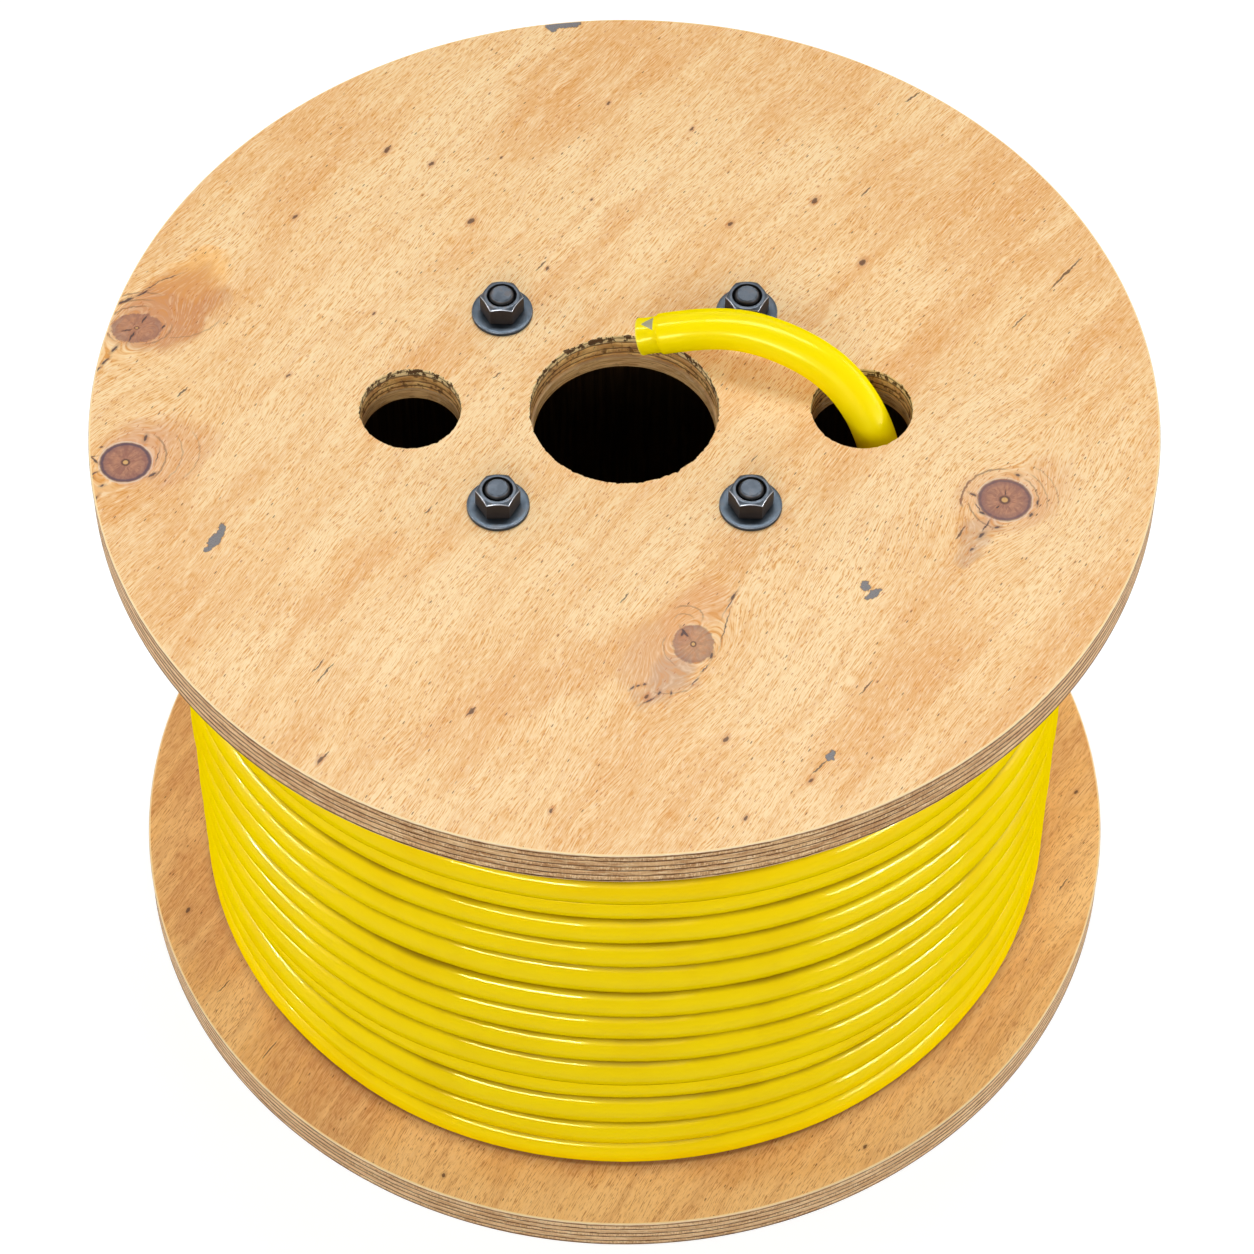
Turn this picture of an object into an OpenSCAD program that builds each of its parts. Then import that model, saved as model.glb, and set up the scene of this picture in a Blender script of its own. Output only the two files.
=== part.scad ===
/* [Flanges] */
// Diameter of each plywood flange
flange_d = 500; // [480:1:600]
// Thickness of each flange
flange_t = 21; // [20:0.5:27]
// Clear width between the two flanges, where the cable is wound
traverse = 310; // [258:1:372]
// Bevel around each flange's two outer edges
edge_bevel = 1; // [0.5:0.1:2]

/* [Holes] */
// Diameter of the centre bore in each flange
bore_d = 88; // [70:1:106]
// How much smaller the locating discs' bore is than the flanges'
bore_step = 2; // [1:0.5:4]
// Diameter of the drive-pin hole and of the cable hole
side_hole_d = 47; // [39:0.5:56]
// Distance of the drive-pin hole from the centre
drive_hole_r = 100; // [90:1:110]
// Distance of the cable hole from the centre
cable_hole_r = 111; // [105:1:114]

/* [Barrel] */
// Outside diameter of the barrel tube
barrel_d = 300; // [294:1:360]
// Wall of the barrel tube
barrel_wall = 8; // [6.5:0.5:10]
// Thickness of the locating disc, let into each flange with the barrel's end
disc_t = 7; // [5.5:0.5:8]
// Gap all round the barrel in its seat, and all round the locating disc
seat_gap = 0.25; // [0.1:0.05:0.5]

/* [Cable] */
// Outside diameter of the cable
cable_d = 19.5; // [16.2:0.1:23.4]
// Number of layers wound on the barrel
layers = 4; // [2:1:5]
// Least gap between neighbouring turns of a layer
turn_gap = 1; // [0.5:0.1:3]
// Gap between the barrel and the winding's first layer
lay_gap = 0.2; // [0.1:0.1:1]
// Gap between the winding's end turns and the flanges
coil_gap = 0.3; // [0.2:0.1:1]
// Length of the cap on the cable's free end
cap_len = 10; // [6:0.5:16]
// How much smaller than the cable the cap is across
cap_step = 1.6; // [1:0.1:3]

/* [Tie bolts] */
// Spacing of the four tie bolts, the same both ways
bolt_spacing = 116; // [100:1:126]
// Thread diameter of the tie bolts
bolt_d = 12; // [10:1:14]
// How far the tie bolts stand out of their nuts
bolt_proud = 1.4; // [0:0.2:6]
// Width of the nuts and bolt heads across their flats
hex_af = 18; // [16:0.5:21]
// Height of a nut
nut_h = 10.8; // [8.4:0.1:12.8]
// Height of a bolt's head
head_h = 7.5; // [6:0.1:8.5]
// Outside diameter of a washer
washer_d = 29; // [24:0.5:34]
// Thickness of a washer
washer_t = 2.5; // [1.5:0.1:3]
// Gap all round a bolt in its holes and washers
bolt_gap = 0.75; // [0.5:0.05:1]
// How deep a bolt's head lies below the lower flange's face
head_recess = 1; // [0.5:0.1:2]
// Gap all round a lower washer in its counterbore
counterbore_gap = 2; // [1:0.1:3]

/* [Hidden] */
$fn = 96;
round_fn = 180;
eps = 0.01;

flange_r = flange_d / 2;
top_inner_z = flange_t + traverse;
top_z = 2 * flange_t + traverse;

barrel_r = barrel_d / 2;
barrel_in_r = barrel_r - barrel_wall;
seat_r = barrel_r + seat_gap;
disc_r = barrel_in_r - seat_gap;
disc_bore_d = bore_d - bore_step;
barrel_z0 = flange_t - disc_t;
barrel_h = traverse + 2 * disc_t;

bolt_hole_d = bolt_d + 2 * bolt_gap;
counterbore_d = washer_d + 2 * counterbore_gap;
counterbore_h = head_recess + head_h + washer_t;
bolt_len = top_z + washer_t + nut_h + bolt_proud - head_recess - head_h;
bolt_end_bevel = bolt_d / 10;
nut_bevel = hex_af / 14;

// The winding: odd layers lie in the valleys of the even ones and hold one turn less
cable_r = cable_d / 2;
turns = floor((traverse - 2 * coil_gap) / (cable_d + turn_gap));
turn_pitch = (traverse - 2 * coil_gap - cable_d) / (turns - 1);
layer_pitch = sqrt(pow(cable_d, 2) - pow(turn_pitch / 2, 2));
coil_in_r = barrel_r + lay_gap;
coil_z0 = flange_t + coil_gap + cable_r;
coil_z1 = top_inner_z - coil_gap - cable_r;

// The route of the cable's inner end: from the winding through the barrel's wall,
// up the inside of the barrel, out of the cable hole and across the upper flange
route = [
    [-60, -120, 54], [-40, -120, 54], [-20, -120.5, 56.5], [0, -121, 63],
    [17, -120, 73.5], [31, -117, 88], [45, -112, 108], [60.5, -105, 134],
    [74.5, -95.5, 161], [87, -84, 188], [98, -71, 215], [107, -57, 242],
    [114, -42, 268], [120.5, -22, 300], [122.5, -13, 318], [119, -6, 336],
    [111, 3.5, 351], [99.5, 12, 362.5], [86, 18, 370], [71, 23.5, 374],
    [57, 28.5, 374.5], [43.5, 32.5, 371.5], [30, 35.5, 366.5], [17, 36.5, 362.5]
];
route_last = len(route) - 1;
rings_per_point = 2;
tube_sides = 12;

// The straight stub from the route's start out to the winding's first layer
lead_out_len = route[0].x + sqrt(pow(coil_in_r + cable_r, 2) - pow(route[0].y, 2));
lead_hole_gap = 3;
lead_hole_run = 20;

// Centre of tie bolt i, numbered 1 to 4 round the axis
function bolt_xy(i) = [
    bolt_spacing / 2 * (i == 1 || i == 4 ? 1 : -1),
    bolt_spacing / 2 * (i <= 2 ? 1 : -1),
    0
];

// Centre radius of a layer's turns, and the height of its first turn
function layer_r(layer) = coil_in_r + cable_r + layer * layer_pitch;
function in_valleys(layer) = (layers - 1 - layer) % 2 == 1;
function layer_z0(layer) = coil_z0 + (in_valleys(layer) ? turn_pitch / 2 : 0);
function layer_z1(layer) = coil_z1 - (in_valleys(layer) ? turn_pitch / 2 : 0);

// A smooth curve drawn along the route, which it meets exactly at both ends
function route_point(i) =
    i < 0 ? 2 * route[0] - route[1] :
    i > route_last ? 2 * route[route_last] - route[route_last - 1] :
    route[i];
function blend(a, b, c, d, t) = (
    pow(1 - t, 3) * a
    + (3 * pow(t, 3) - 6 * pow(t, 2) + 4) * b
    + (-3 * pow(t, 3) + 3 * pow(t, 2) + 3 * t + 1) * c
    + pow(t, 3) * d
) / 6;
function slope(a, b, c, d, t) = (
    -pow(1 - t, 2) * a
    + (3 * pow(t, 2) - 4 * t) * b
    + (-3 * pow(t, 2) + 2 * t + 1) * c
    + pow(t, 2) * d
) / 2;
function curve_at(s) =
    let (i = min(floor(s), route_last - 1))
    blend(route_point(i - 1), route_point(i), route_point(i + 1), route_point(i + 2), s - i);
function heading_at(s) =
    let (i = min(floor(s), route_last - 1))
    let (d = slope(route_point(i - 1), route_point(i), route_point(i + 1), route_point(i + 2), s - i))
    d / norm(d);

// One ring of the cable's outside, square to the curve
function ring_at(s) =
    let (t = heading_at(s), u = cross(t, [0, 1, 0]) / norm(cross(t, [0, 1, 0])), v = cross(t, u))
    [for (k = [0 : tube_sides - 1])
        curve_at(s) + cable_r * (cos(360 * k / tube_sides) * u + sin(360 * k / tube_sides) * v)];

module side_holes(height) {
    translate([-drive_hole_r, 0, 0]) cylinder(h = height, d = side_hole_d, $fn = round_fn);
    translate([cable_hole_r, 0, 0]) cylinder(h = height, d = side_hole_d, $fn = round_fn);
}

module bolt_holes(height, d) {
    for (i = [1 : 4]) translate(bolt_xy(i)) cylinder(h = height, d = d);
}

// A flange with its recess upwards; the recess seats the barrel's end and the locating disc
module flange_blank() {
    difference() {
        rotate_extrude($fn = round_fn)
            polygon([
                [0, 0], [flange_r - edge_bevel, 0], [flange_r, edge_bevel],
                [flange_r, flange_t - edge_bevel], [flange_r - edge_bevel, flange_t], [0, flange_t]
            ]);
        translate([0, 0, flange_t - disc_t]) cylinder(h = disc_t + 1, r = seat_r, $fn = round_fn);
        translate([0, 0, -1]) cylinder(h = flange_t + 2, d = bore_d, $fn = round_fn);
        translate([0, 0, -1]) side_holes(flange_t + 2);
        translate([0, 0, -1]) bolt_holes(flange_t + 2, bolt_hole_d);
    }
}

module flange_bottom() {
    color("Peru") difference() {
        flange_blank();
        translate([0, 0, -1]) bolt_holes(counterbore_h + 1, counterbore_d);
    }
}

module flange_top() {
    color("BurlyWood") translate([0, 0, top_z]) mirror([0, 0, 1]) flange_blank();
}

module locating_disc(z) {
    color("Tan") translate([0, 0, z]) difference() {
        cylinder(h = disc_t, r = disc_r, $fn = round_fn);
        translate([0, 0, -1]) cylinder(h = disc_t + 2, d = disc_bore_d, $fn = round_fn);
        translate([0, 0, -1]) side_holes(disc_t + 2);
        translate([0, 0, -1]) bolt_holes(disc_t + 2, bolt_hole_d);
    }
}

// A straight cylinder along the cable's path through the barrel's wall
module lead_out(extra_r, before, after) {
    translate(route[0] - [before, 0, 0]) rotate([0, 90, 0])
        cylinder(h = before + after, r = cable_r + extra_r);
}

module barrel() {
    color("Sienna") difference() {
        translate([0, 0, barrel_z0]) cylinder(h = barrel_h, r = barrel_r, $fn = round_fn);
        translate([0, 0, barrel_z0 - 1]) cylinder(h = barrel_h + 2, r = barrel_in_r, $fn = round_fn);
        lead_out(lead_hole_gap, lead_out_len + lead_hole_run, lead_hole_run);
    }
}

module coil_section() {
    bottom = [for (i = [0 : layers - 1]) [layer_r(i), layer_z0(i)]];
    top = [for (i = [layers - 1 : -1 : 0]) [layer_r(i), layer_z1(i)]];
    polygon(concat([[coil_in_r, layer_z0(0)]], bottom, top, [[coil_in_r, layer_z1(0)]]));
    for (i = [0 : layers - 1], z = [layer_z0(i), layer_z1(i)])
        translate([layer_r(i), z]) circle(r = cable_r, $fn = 48);
    for (k = [1 : turns - 2])
        translate([layer_r(layers - 1), layer_z0(layers - 1) + k * turn_pitch])
            circle(r = cable_r, $fn = 48);
}

module cable_coil() {
    color("Gold") {
        rotate_extrude($fn = round_fn) coil_section();
        lead_out(0, lead_out_len, 0);
    }
}

module cable_tail() {
    stations = [for (k = [0 : route_last * rings_per_point]) k / rings_per_point];
    count = len(stations);
    points = [for (s = stations) each ring_at(s)];
    sides = [for (j = [0 : count - 2], k = [0 : tube_sides - 1])
        let (a = j * tube_sides + k, b = j * tube_sides + (k + 1) % tube_sides)
        [a, b, b + tube_sides, a + tube_sides]];
    start = [for (k = [tube_sides - 1 : -1 : 0]) k];
    end = [for (k = [0 : tube_sides - 1]) (count - 1) * tube_sides + k];
    color("Gold") polyhedron(points = points, faces = concat(sides, [start, end]));
}

module cable_end_cap() {
    axis = heading_at(route_last);
    pitch = asin(axis.z);
    yaw = atan2(axis.y, axis.x);
    bevel = cap_step / 2;
    color("Yellow") translate(route[route_last]) rotate([0, 90 - pitch, yaw])
        rotate_extrude()
            polygon([
                [0, eps], [cable_r - bevel, eps], [cable_r - bevel, cap_len - bevel],
                [cable_r - 2 * bevel, cap_len], [0, cap_len]
            ]);
}

// A hexagon with its corners turned down at the top, flats facing the Y axis
module hex_block(height, bevel) {
    corner_r = hex_af / 2 / cos(30);
    intersection() {
        cylinder(h = height, r = corner_r, $fn = 6);
        rotate_extrude()
            polygon([
                [0, 0], [corner_r + eps, 0], [corner_r + eps, height - bevel],
                [hex_af / 2, height], [0, height]
            ]);
    }
}

module tie_bolt(i) {
    head_z = head_recess + head_h;
    shank_r = bolt_d / 2;
    color("DimGray") translate(bolt_xy(i)) {
        translate([0, 0, head_z]) mirror([0, 0, 1]) hex_block(head_h, nut_bevel);
        translate([0, 0, head_z]) rotate_extrude()
            polygon([
                [0, 0], [shank_r, 0], [shank_r, bolt_len - bolt_end_bevel],
                [shank_r - bolt_end_bevel, bolt_len], [0, bolt_len]
            ]);
    }
}

module nut(i) {
    color("DarkSlateGray") translate(bolt_xy(i) + [0, 0, top_z + washer_t]) difference() {
        hex_block(nut_h, nut_bevel);
        translate([0, 0, -1]) cylinder(h = nut_h + 2, d = bolt_d);
        translate([0, 0, nut_h - 1]) cylinder(h = 1 + eps, d1 = bolt_d, d2 = bolt_d + 2);
    }
}

module washer(i, z) {
    color("SlateGray") translate(bolt_xy(i) + [0, 0, z]) difference() {
        cylinder(h = washer_t, d = washer_d);
        translate([0, 0, -1]) cylinder(h = washer_t + 2, d = bolt_hole_d);
    }
}

flange_bottom();
flange_top();
locating_disc(flange_t - disc_t);  // locating_disc_bottom
locating_disc(top_inner_z);  // locating_disc_top
barrel();
cable_coil();
cable_tail();
cable_end_cap();
tie_bolt(1);  // tie_bolt_1
tie_bolt(2);  // tie_bolt_2
tie_bolt(3);  // tie_bolt_3
tie_bolt(4);  // tie_bolt_4
nut(1);  // nut_1
nut(2);  // nut_2
nut(3);  // nut_3
nut(4);  // nut_4
washer(1, top_z);  // washer_top_1
washer(2, top_z);  // washer_top_2
washer(3, top_z);  // washer_top_3
washer(4, top_z);  // washer_top_4
washer(1, head_recess + head_h);  // washer_bottom_1
washer(2, head_recess + head_h);  // washer_bottom_2
washer(3, head_recess + head_h);  // washer_bottom_3
washer(4, head_recess + head_h);  // washer_bottom_4
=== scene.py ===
import math

import bmesh
import bpy
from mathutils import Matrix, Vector, noise
from mathutils.geometry import tessellate_polygon


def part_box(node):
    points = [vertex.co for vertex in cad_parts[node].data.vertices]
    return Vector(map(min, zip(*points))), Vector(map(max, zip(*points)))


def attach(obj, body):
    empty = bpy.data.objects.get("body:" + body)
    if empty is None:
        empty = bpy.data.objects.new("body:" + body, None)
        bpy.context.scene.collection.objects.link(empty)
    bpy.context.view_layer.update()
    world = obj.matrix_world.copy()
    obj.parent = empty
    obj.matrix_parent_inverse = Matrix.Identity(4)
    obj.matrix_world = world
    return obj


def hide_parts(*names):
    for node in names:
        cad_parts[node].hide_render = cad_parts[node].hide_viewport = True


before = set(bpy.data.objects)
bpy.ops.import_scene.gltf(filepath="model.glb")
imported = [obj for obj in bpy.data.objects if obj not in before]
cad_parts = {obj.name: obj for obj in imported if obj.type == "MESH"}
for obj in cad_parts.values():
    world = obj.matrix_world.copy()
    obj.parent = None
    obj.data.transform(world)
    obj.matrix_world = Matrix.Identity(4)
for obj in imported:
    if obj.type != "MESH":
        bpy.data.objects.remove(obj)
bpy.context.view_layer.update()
print("frame loaded:", len(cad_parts), "nodes")

mm = 0.001


def span(node):
    # lowest and highest point of a node, in millimetres
    low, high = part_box(node)
    return low.z / mm, high.z / mm


cameraSettings = {
    "lens": 130,
    "sensor": 36,
    "place": (1.2 * mm, -1331.3 * mm, 1999.4 * mm),
    "lookDown": 53.82,  # degrees below the horizon
}


def placeCamera(settings):
    data = bpy.data.cameras.new("camera")
    data.lens = settings["lens"]
    data.sensor_width = settings["sensor"]
    data.clip_end = 50
    camera = bpy.data.objects.new("camera", data)
    camera.location = settings["place"]
    camera.rotation_euler = (math.radians(90 - settings["lookDown"]), 0, 0)
    bpy.context.collection.objects.link(camera)
    bpy.context.scene.camera = camera


placeCamera(cameraSettings)
bpy.context.scene.view_settings.view_transform = "Standard"
print("camera placed")


# a node's socket, which takes part in plain arithmetic
class Wire:
    def __init__(self, graph, socket):
        self.graph, self.socket = graph, socket

    def other(self, output):
        return Wire(self.graph, self.socket.node.outputs[output])

    def __add__(self, value):
        return self.graph.math("ADD", self, value)

    def __radd__(self, value):
        return self.graph.math("ADD", value, self)

    def __sub__(self, value):
        return self.graph.math("SUBTRACT", self, value)

    def __rsub__(self, value):
        return self.graph.math("SUBTRACT", value, self)

    def __mul__(self, value):
        return self.graph.math("MULTIPLY", self, value)

    def __rmul__(self, value):
        return self.graph.math("MULTIPLY", value, self)

    def __truediv__(self, value):
        return self.graph.math("DIVIDE", self, value)

    def __rtruediv__(self, value):
        return self.graph.math("DIVIDE", value, self)

    def __mod__(self, value):
        return self.graph.math("FLOORED_MODULO", self, value)

    def __neg__(self):
        return self.graph.math("MULTIPLY", self, -1)

    def __abs__(self):
        return self.graph.math("ABSOLUTE", self)

    def __gt__(self, value):
        return self.graph.math("GREATER_THAN", self, value)

    def __lt__(self, value):
        return self.graph.math("LESS_THAN", self, value)


# a node tree, and what is built in it
class Graph:
    def __init__(self, tree):
        self.tree = tree
        tree.nodes.clear()

    def feed(self, socket, value):
        if isinstance(value, Wire):
            self.tree.links.new(value.socket, socket)
        else:
            socket.default_value = value

    # one method for every node: its type, its settings, then its sockets' values or links
    def node(self, kind, settings=None, sockets=None, output=0):
        made = self.tree.nodes.new(kind)
        for name, value in (settings or {}).items():
            if name == "curve":
                line = made.mapping.curves[0]
                while len(line.points) < len(value):
                    line.points.new(0.5, 0.5)
                for point, place in zip(line.points, value):
                    point.location, point.handle_type = place, "VECTOR"
                made.mapping.update()
            else:
                setattr(made, name, value)
        for name, value in (sockets or {}).items():
            self.feed(made.inputs[name], value)
        return Wire(self, made.outputs[output]) if made.outputs else made

    def math(self, operation, *values):
        return self.node("ShaderNodeMath", {"operation": operation}, dict(enumerate(values)))

    def lower(self, first, *others):
        for value in others:
            first = self.math("MINIMUM", first, value)
        return first

    def higher(self, first, *others):
        for value in others:
            first = self.math("MAXIMUM", first, value)
        return first

    def sine(self, value):
        return self.math("SINE", value)

    # 0 below low and 1 above high, with a soft rise between; falls when low is the greater
    def rise(self, value, low, high):
        return self.node(
            "ShaderNodeMapRange",
            {"interpolation_type": "SMOOTHSTEP"},
            {"Value": value, "From Min": low, "From Max": high, "To Min": 0, "To Max": 1},
        )

    def vector(self, x, y, z=0):
        return self.node("ShaderNodeCombineXYZ", None, {0: x, 1: y, 2: z})

    def axes(self, vector):
        x = self.node("ShaderNodeSeparateXYZ", None, {0: vector})
        return x, x.other(1), x.other(2)

    # object coordinates in millimetres
    def place(self):
        spot = self.node("ShaderNodeTexCoord", output=3)
        scaled = self.node("ShaderNodeVectorMath", {"operation": "SCALE"}, {0: spot, "Scale": 1 / mm})
        return self.axes(scaled)

    def normal(self):
        return self.axes(self.node("ShaderNodeTexCoord", output=1))

    def vectors(self, operation, first, second=(0, 0, 0), output=0):
        return self.node("ShaderNodeVectorMath", {"operation": operation}, {0: first, 1: second}, output)

    # squared distance from the middle of an oval, 1 on its edge; the spot's third number is 1
    def oval(self, spot, middle, sizes, turn=0):
        cosine, sine = math.cos(math.radians(turn)), math.sin(math.radians(turn))
        total = 0
        for size, (across, up) in zip(sizes, ((cosine, sine), (-sine, cosine))):
            shift = -(middle[0] * across + middle[1] * up) / size
            reach = self.vectors("DOT_PRODUCT", spot, (across / size, up / size, shift), "Value")
            total = self.math("MULTIPLY_ADD", reach, reach, total)
        return total

    # moves a flat spot by a noise's colour, by half the amount at most
    def warp(self, spot, drift, amount):
        centred = self.vectors("SUBTRACT", drift, (0.5, 0.5, 0))
        return self.vectors("ADD", spot, self.vectors("MULTIPLY", centred, (amount, amount, 0)))

    # the heading of a flat spot from a point
    def toward(self, spot, point):
        return self.vectors("NORMALIZE", self.vectors("SUBTRACT", spot, (point[0], point[1], 1)))

    def mix(self, factor, first, second):
        return self.node("ShaderNodeMix", {"data_type": "RGBA"}, {0: factor, 6: first, 7: second}, 2)

    # lays a colour over another: not at all where the value is low, at its full share where it is high
    def lay(self, under, over, value, low, high, share=1):
        mask = self.rise(value, low, high)
        return self.mix(mask if share == 1 else mask * share, under, over)

    def noise(self, x, y, z=None, detail=2, roughness=0.5, seed=0):
        flat = z is None
        spot = self.vector(x + seed * 7.31, y - seed * 4.17, 0 if flat else z)
        return self.node(
            "ShaderNodeTexNoise",
            {"noise_dimensions": "2D" if flat else "3D"},
            {"Vector": spot, "Scale": 1, "Detail": detail, "Roughness": roughness},
        )

    def cells(self, x, y, seed=0):
        spot = self.vector(x + seed * 5.7, y + seed * 3.3)
        return self.node("ShaderNodeTexVoronoi", {"voronoi_dimensions": "2D"}, {"Vector": spot, "Scale": 1})


def tone(red, green, blue):
    # a screen colour from 0 to 255, as the linear one that shaders take
    def linear(level):
        return ((level / 255 + 0.055) / 1.055) ** 2.4 if level > 10 else level / 3294.6
    return linear(red), linear(green), linear(blue), 1


def newMaterial(name):
    made = bpy.data.materials.new(name)
    made.use_nodes = True
    return made, Graph(made.node_tree)


def finishMaterial(
    graph, colour, roughness, height=None, metallic=0, specular=0.5, tint=(1, 1, 1, 1), fade=None
):
    sockets = {
        "Base Color": colour,
        "Roughness": roughness,
        "Metallic": metallic,
        "Specular IOR Level": specular,
        "Specular Tint": tint,
    }
    if height is not None:  # in millimetres
        relief = {"Strength": 1, "Distance": mm, "Height": height}
        sockets["Normal"] = graph.node("ShaderNodeBump", None, relief)
    shader = graph.node("ShaderNodeBsdfPrincipled", None, sockets)
    if fade:  # the gloss goes as the surface turns edge on
        matt = graph.node("ShaderNodeBsdfPrincipled", None, dict(sockets, **{"Specular IOR Level": 0}))
        facing = graph.node("ShaderNodeLayerWeight", None, {"Blend": 0.5}, 1)
        shader = graph.node("ShaderNodeMixShader", None, {0: graph.rise(facing, *fade), 1: shader, 2: matt})
    graph.node("ShaderNodeOutputMaterial", None, {"Surface": shader})


def tidyMesh(mesh, sharpAngle):
    # faces outwards, and smooth but for the sharper edges
    shell = bmesh.new()
    shell.from_mesh(mesh)
    bmesh.ops.recalc_face_normals(shell, faces=shell.faces)
    shell.to_mesh(mesh)
    shell.free()
    mesh.polygons.foreach_set("use_smooth", [True] * len(mesh.polygons))
    mesh.set_sharp_from_angle(angle=math.radians(sharpAngle))


# a mesh made from rings of points
class Shell:
    def __init__(self):
        self.points, self.faces, self.looks, self.spots = [], [], [], {}

    def ring(self, points):
        first = len(self.points)
        self.points += [Vector(point) for point in points]
        return list(range(first, len(self.points)))

    def wall(self, one, two, look=0):
        count = len(one)
        for i in range(count):
            j = (i + 1) % count
            self.faces.append((one[i], one[j], two[j], two[i]))
            self.looks.append(look)

    def stack(self, rings, look=0):
        for one, two in zip(rings, rings[1:]):
            self.wall(one, two, look)

    def cap(self, ring):
        self.faces.append(tuple(ring))
        self.looks.append(0)

    def cover(self, loops, look=0):
        order = [index for loop in loops for index in loop]
        for triangle in tessellate_polygon([[self.points[index] for index in loop] for loop in loops]):
            self.faces.append(tuple(order[corner] for corner in triangle))
            self.looks.append(look)

    def mark(self, indices, value):
        self.spots.update((index, value) for index in indices)

    def piece(self, name, materials, sharpAngle=35):
        mesh = bpy.data.meshes.new(name)
        mesh.from_pydata([point * mm for point in self.points], [], self.faces)
        mesh.polygons.foreach_set("material_index", self.looks)
        # per point, for the steel: painted highlights, painted reflection and painted shade, along with
        # wear
        wear = mesh.attributes.new("wear", "FLOAT", "POINT")
        for index, value in self.spots.items():
            wear.data[index].value = value
        for material in materials:
            mesh.materials.append(material)
        tidyMesh(mesh, sharpAngle)
        made = bpy.data.objects.new(name, mesh)
        bpy.context.collection.objects.link(made)
        return made


def circle(radius, count, z, centre=(0, 0), offset=None):
    # offset takes an angle and gives millimetres outwards
    points = []
    for i in range(count):
        angle = 2 * math.pi * i / count
        reach = radius + (offset(angle) if offset else 0)
        points.append((centre[0] + reach * math.cos(angle), centre[1] + reach * math.sin(angle), z))
    return points


# yellow sheath of the cable
sheathLook = {
    "yellow": tone(255, 223, 0),
    "deepYellow": tone(248, 210, 0),
    # olive brown of the painted shade in the grooves of the winding
    "grooveShade": tone(128, 92, 0),
    "roughness": 0.07,
    "specular": 0.14,
    "tint": (1, 0.94, 0.35, 1),
    "fade": (0.28, 0.6),
}


def makeSheath(name, settings, grooveShade, ribbed):
    # painted shade in the grooves, where the turns of the winding touch
    made, graph = newMaterial(name)
    x, y, z = graph.place()
    along, around = graph.axes(graph.node("ShaderNodeUVMap", {"uv_map": "UVMap"}))[:2]
    outwards, upwards = graph.math("COSINE", around * (2 * math.pi)), graph.sine(around * (2 * math.pi))
    cloudy = graph.noise(x / 40, y / 40, z / 40, 2, 0.6)
    ribs = graph.noise(outwards * 4, upwards * 4, along * 0.3, 1, 0.5)
    scuffs = graph.noise(outwards * 14, upwards * 14, along * 1.6, 2, 0.6)
    colour = graph.lay(settings["yellow"], settings["deepYellow"], cloudy, 0.42, 0.72, 0.5)
    colour = graph.lay(colour, settings["deepYellow"], scuffs, 0.62, 0.8, 0.25)
    # painted shade near the top and the bottom of each turn, where it meets the next
    grooveShadeMask = graph.rise(upwards + (cloudy - 0.5) * 0.12, 0.7, 0.93) + graph.rise(upwards, -0.22, -0.62) * 0.6
    colour = graph.mix(grooveShadeMask * grooveShade, colour, settings["grooveShade"])
    roughness = settings["roughness"] + scuffs * 0.05 + graph.rise(cloudy, 0.5, 0.75) * 0.04
    finishMaterial(
        graph, colour, roughness, ribs * ribbed + scuffs * 0.012,
        specular=settings["specular"], tint=settings["tint"], fade=settings["fade"],
    )
    return made


sheath = makeSheath("windingSheath", sheathLook, 0.85, 0.1)
tailLook = dict(sheathLook, yellow=tone(253, 230, 0), deepYellow=tone(247, 219, 0), roughness=0.19)
tailSheath = makeSheath("tailSheath", tailLook, 0, 0.025)

# the cable's inner end, from the winding through the barrel and out of the flange
tailSettings = {
    "diameter": 19.5,
    "length": 0.52,  # metres, from the winding to the free end
    "sides": 32,
    "stepsPerPoint": 6,
    "edgeRounding": 0.7,
    "edgeSteps": 5,
    "uneven": 0.06,  # how far the radius strays
    "turnLength": 5.2,  # how far its UV map runs
    # the same route as the cable_tail node's
    "route": [
        (-60, -120, 54), (-40, -120, 54), (-20, -120.5, 56.5), (0, -121, 63),
        (17, -120, 73.5), (31, -117, 88), (45, -112, 108), (60.5, -105, 134),
        (74.5, -95.5, 161), (87, -84, 188), (98, -71, 215), (107, -57, 242),
        (114, -42, 268), (120.5, -22, 300), (122.5, -13, 318), (119, -6, 336),
        (111, 3.5, 351), (99.5, 12, 362.5), (86, 18, 370), (71, 23.5, 374),
        (57, 28.5, 374.5), (43.5, 32.5, 371.5), (30, 35.5, 366.5), (17, 36.5, 362.5),
    ],
}


def smoothRoute(route, steps):
    # a uniform cubic curve that meets both ends exactly
    knots = [Vector(point) for point in route]
    knots = [2 * knots[0] - knots[1]] + knots + [2 * knots[-1] - knots[-2]]
    points = []
    for i in range(len(knots) - 3):
        a, b, c, d = knots[i:i + 4]
        for k in range(steps):
            t = k / steps
            points.append((
                (1 - t) ** 3 * a + (3 * t ** 3 - 6 * t ** 2 + 4) * b
                + (-3 * t ** 3 + 3 * t ** 2 + 3 * t + 1) * c + t ** 3 * d
            ) / 6)
    return points + [knots[-2]]


def headings(points):
    found = []
    for i in range(len(points)):
        found.append((points[min(i + 1, len(points) - 1)] - points[max(i - 1, 0)]).normalized())
    return found


def hoop(centre, radius, heading, side, count):
    # points in a ring round a heading
    rise = heading.cross(side)
    for k in range(count):
        angle = 2 * math.pi * k / count
        yield centre + radius * (math.cos(angle) * side + math.sin(angle) * rise)


def tubeRings(shell, points, radii, sides, side=Vector((0, 1, 0))):
    rings = []
    for point, heading, radius in zip(points, headings(points), radii):
        side = (side - heading * side.dot(heading)).normalized()
        rings.append(shell.ring(hoop(point, radius, heading, side, sides)))
    shell.stack(rings)
    return rings, side


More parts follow.
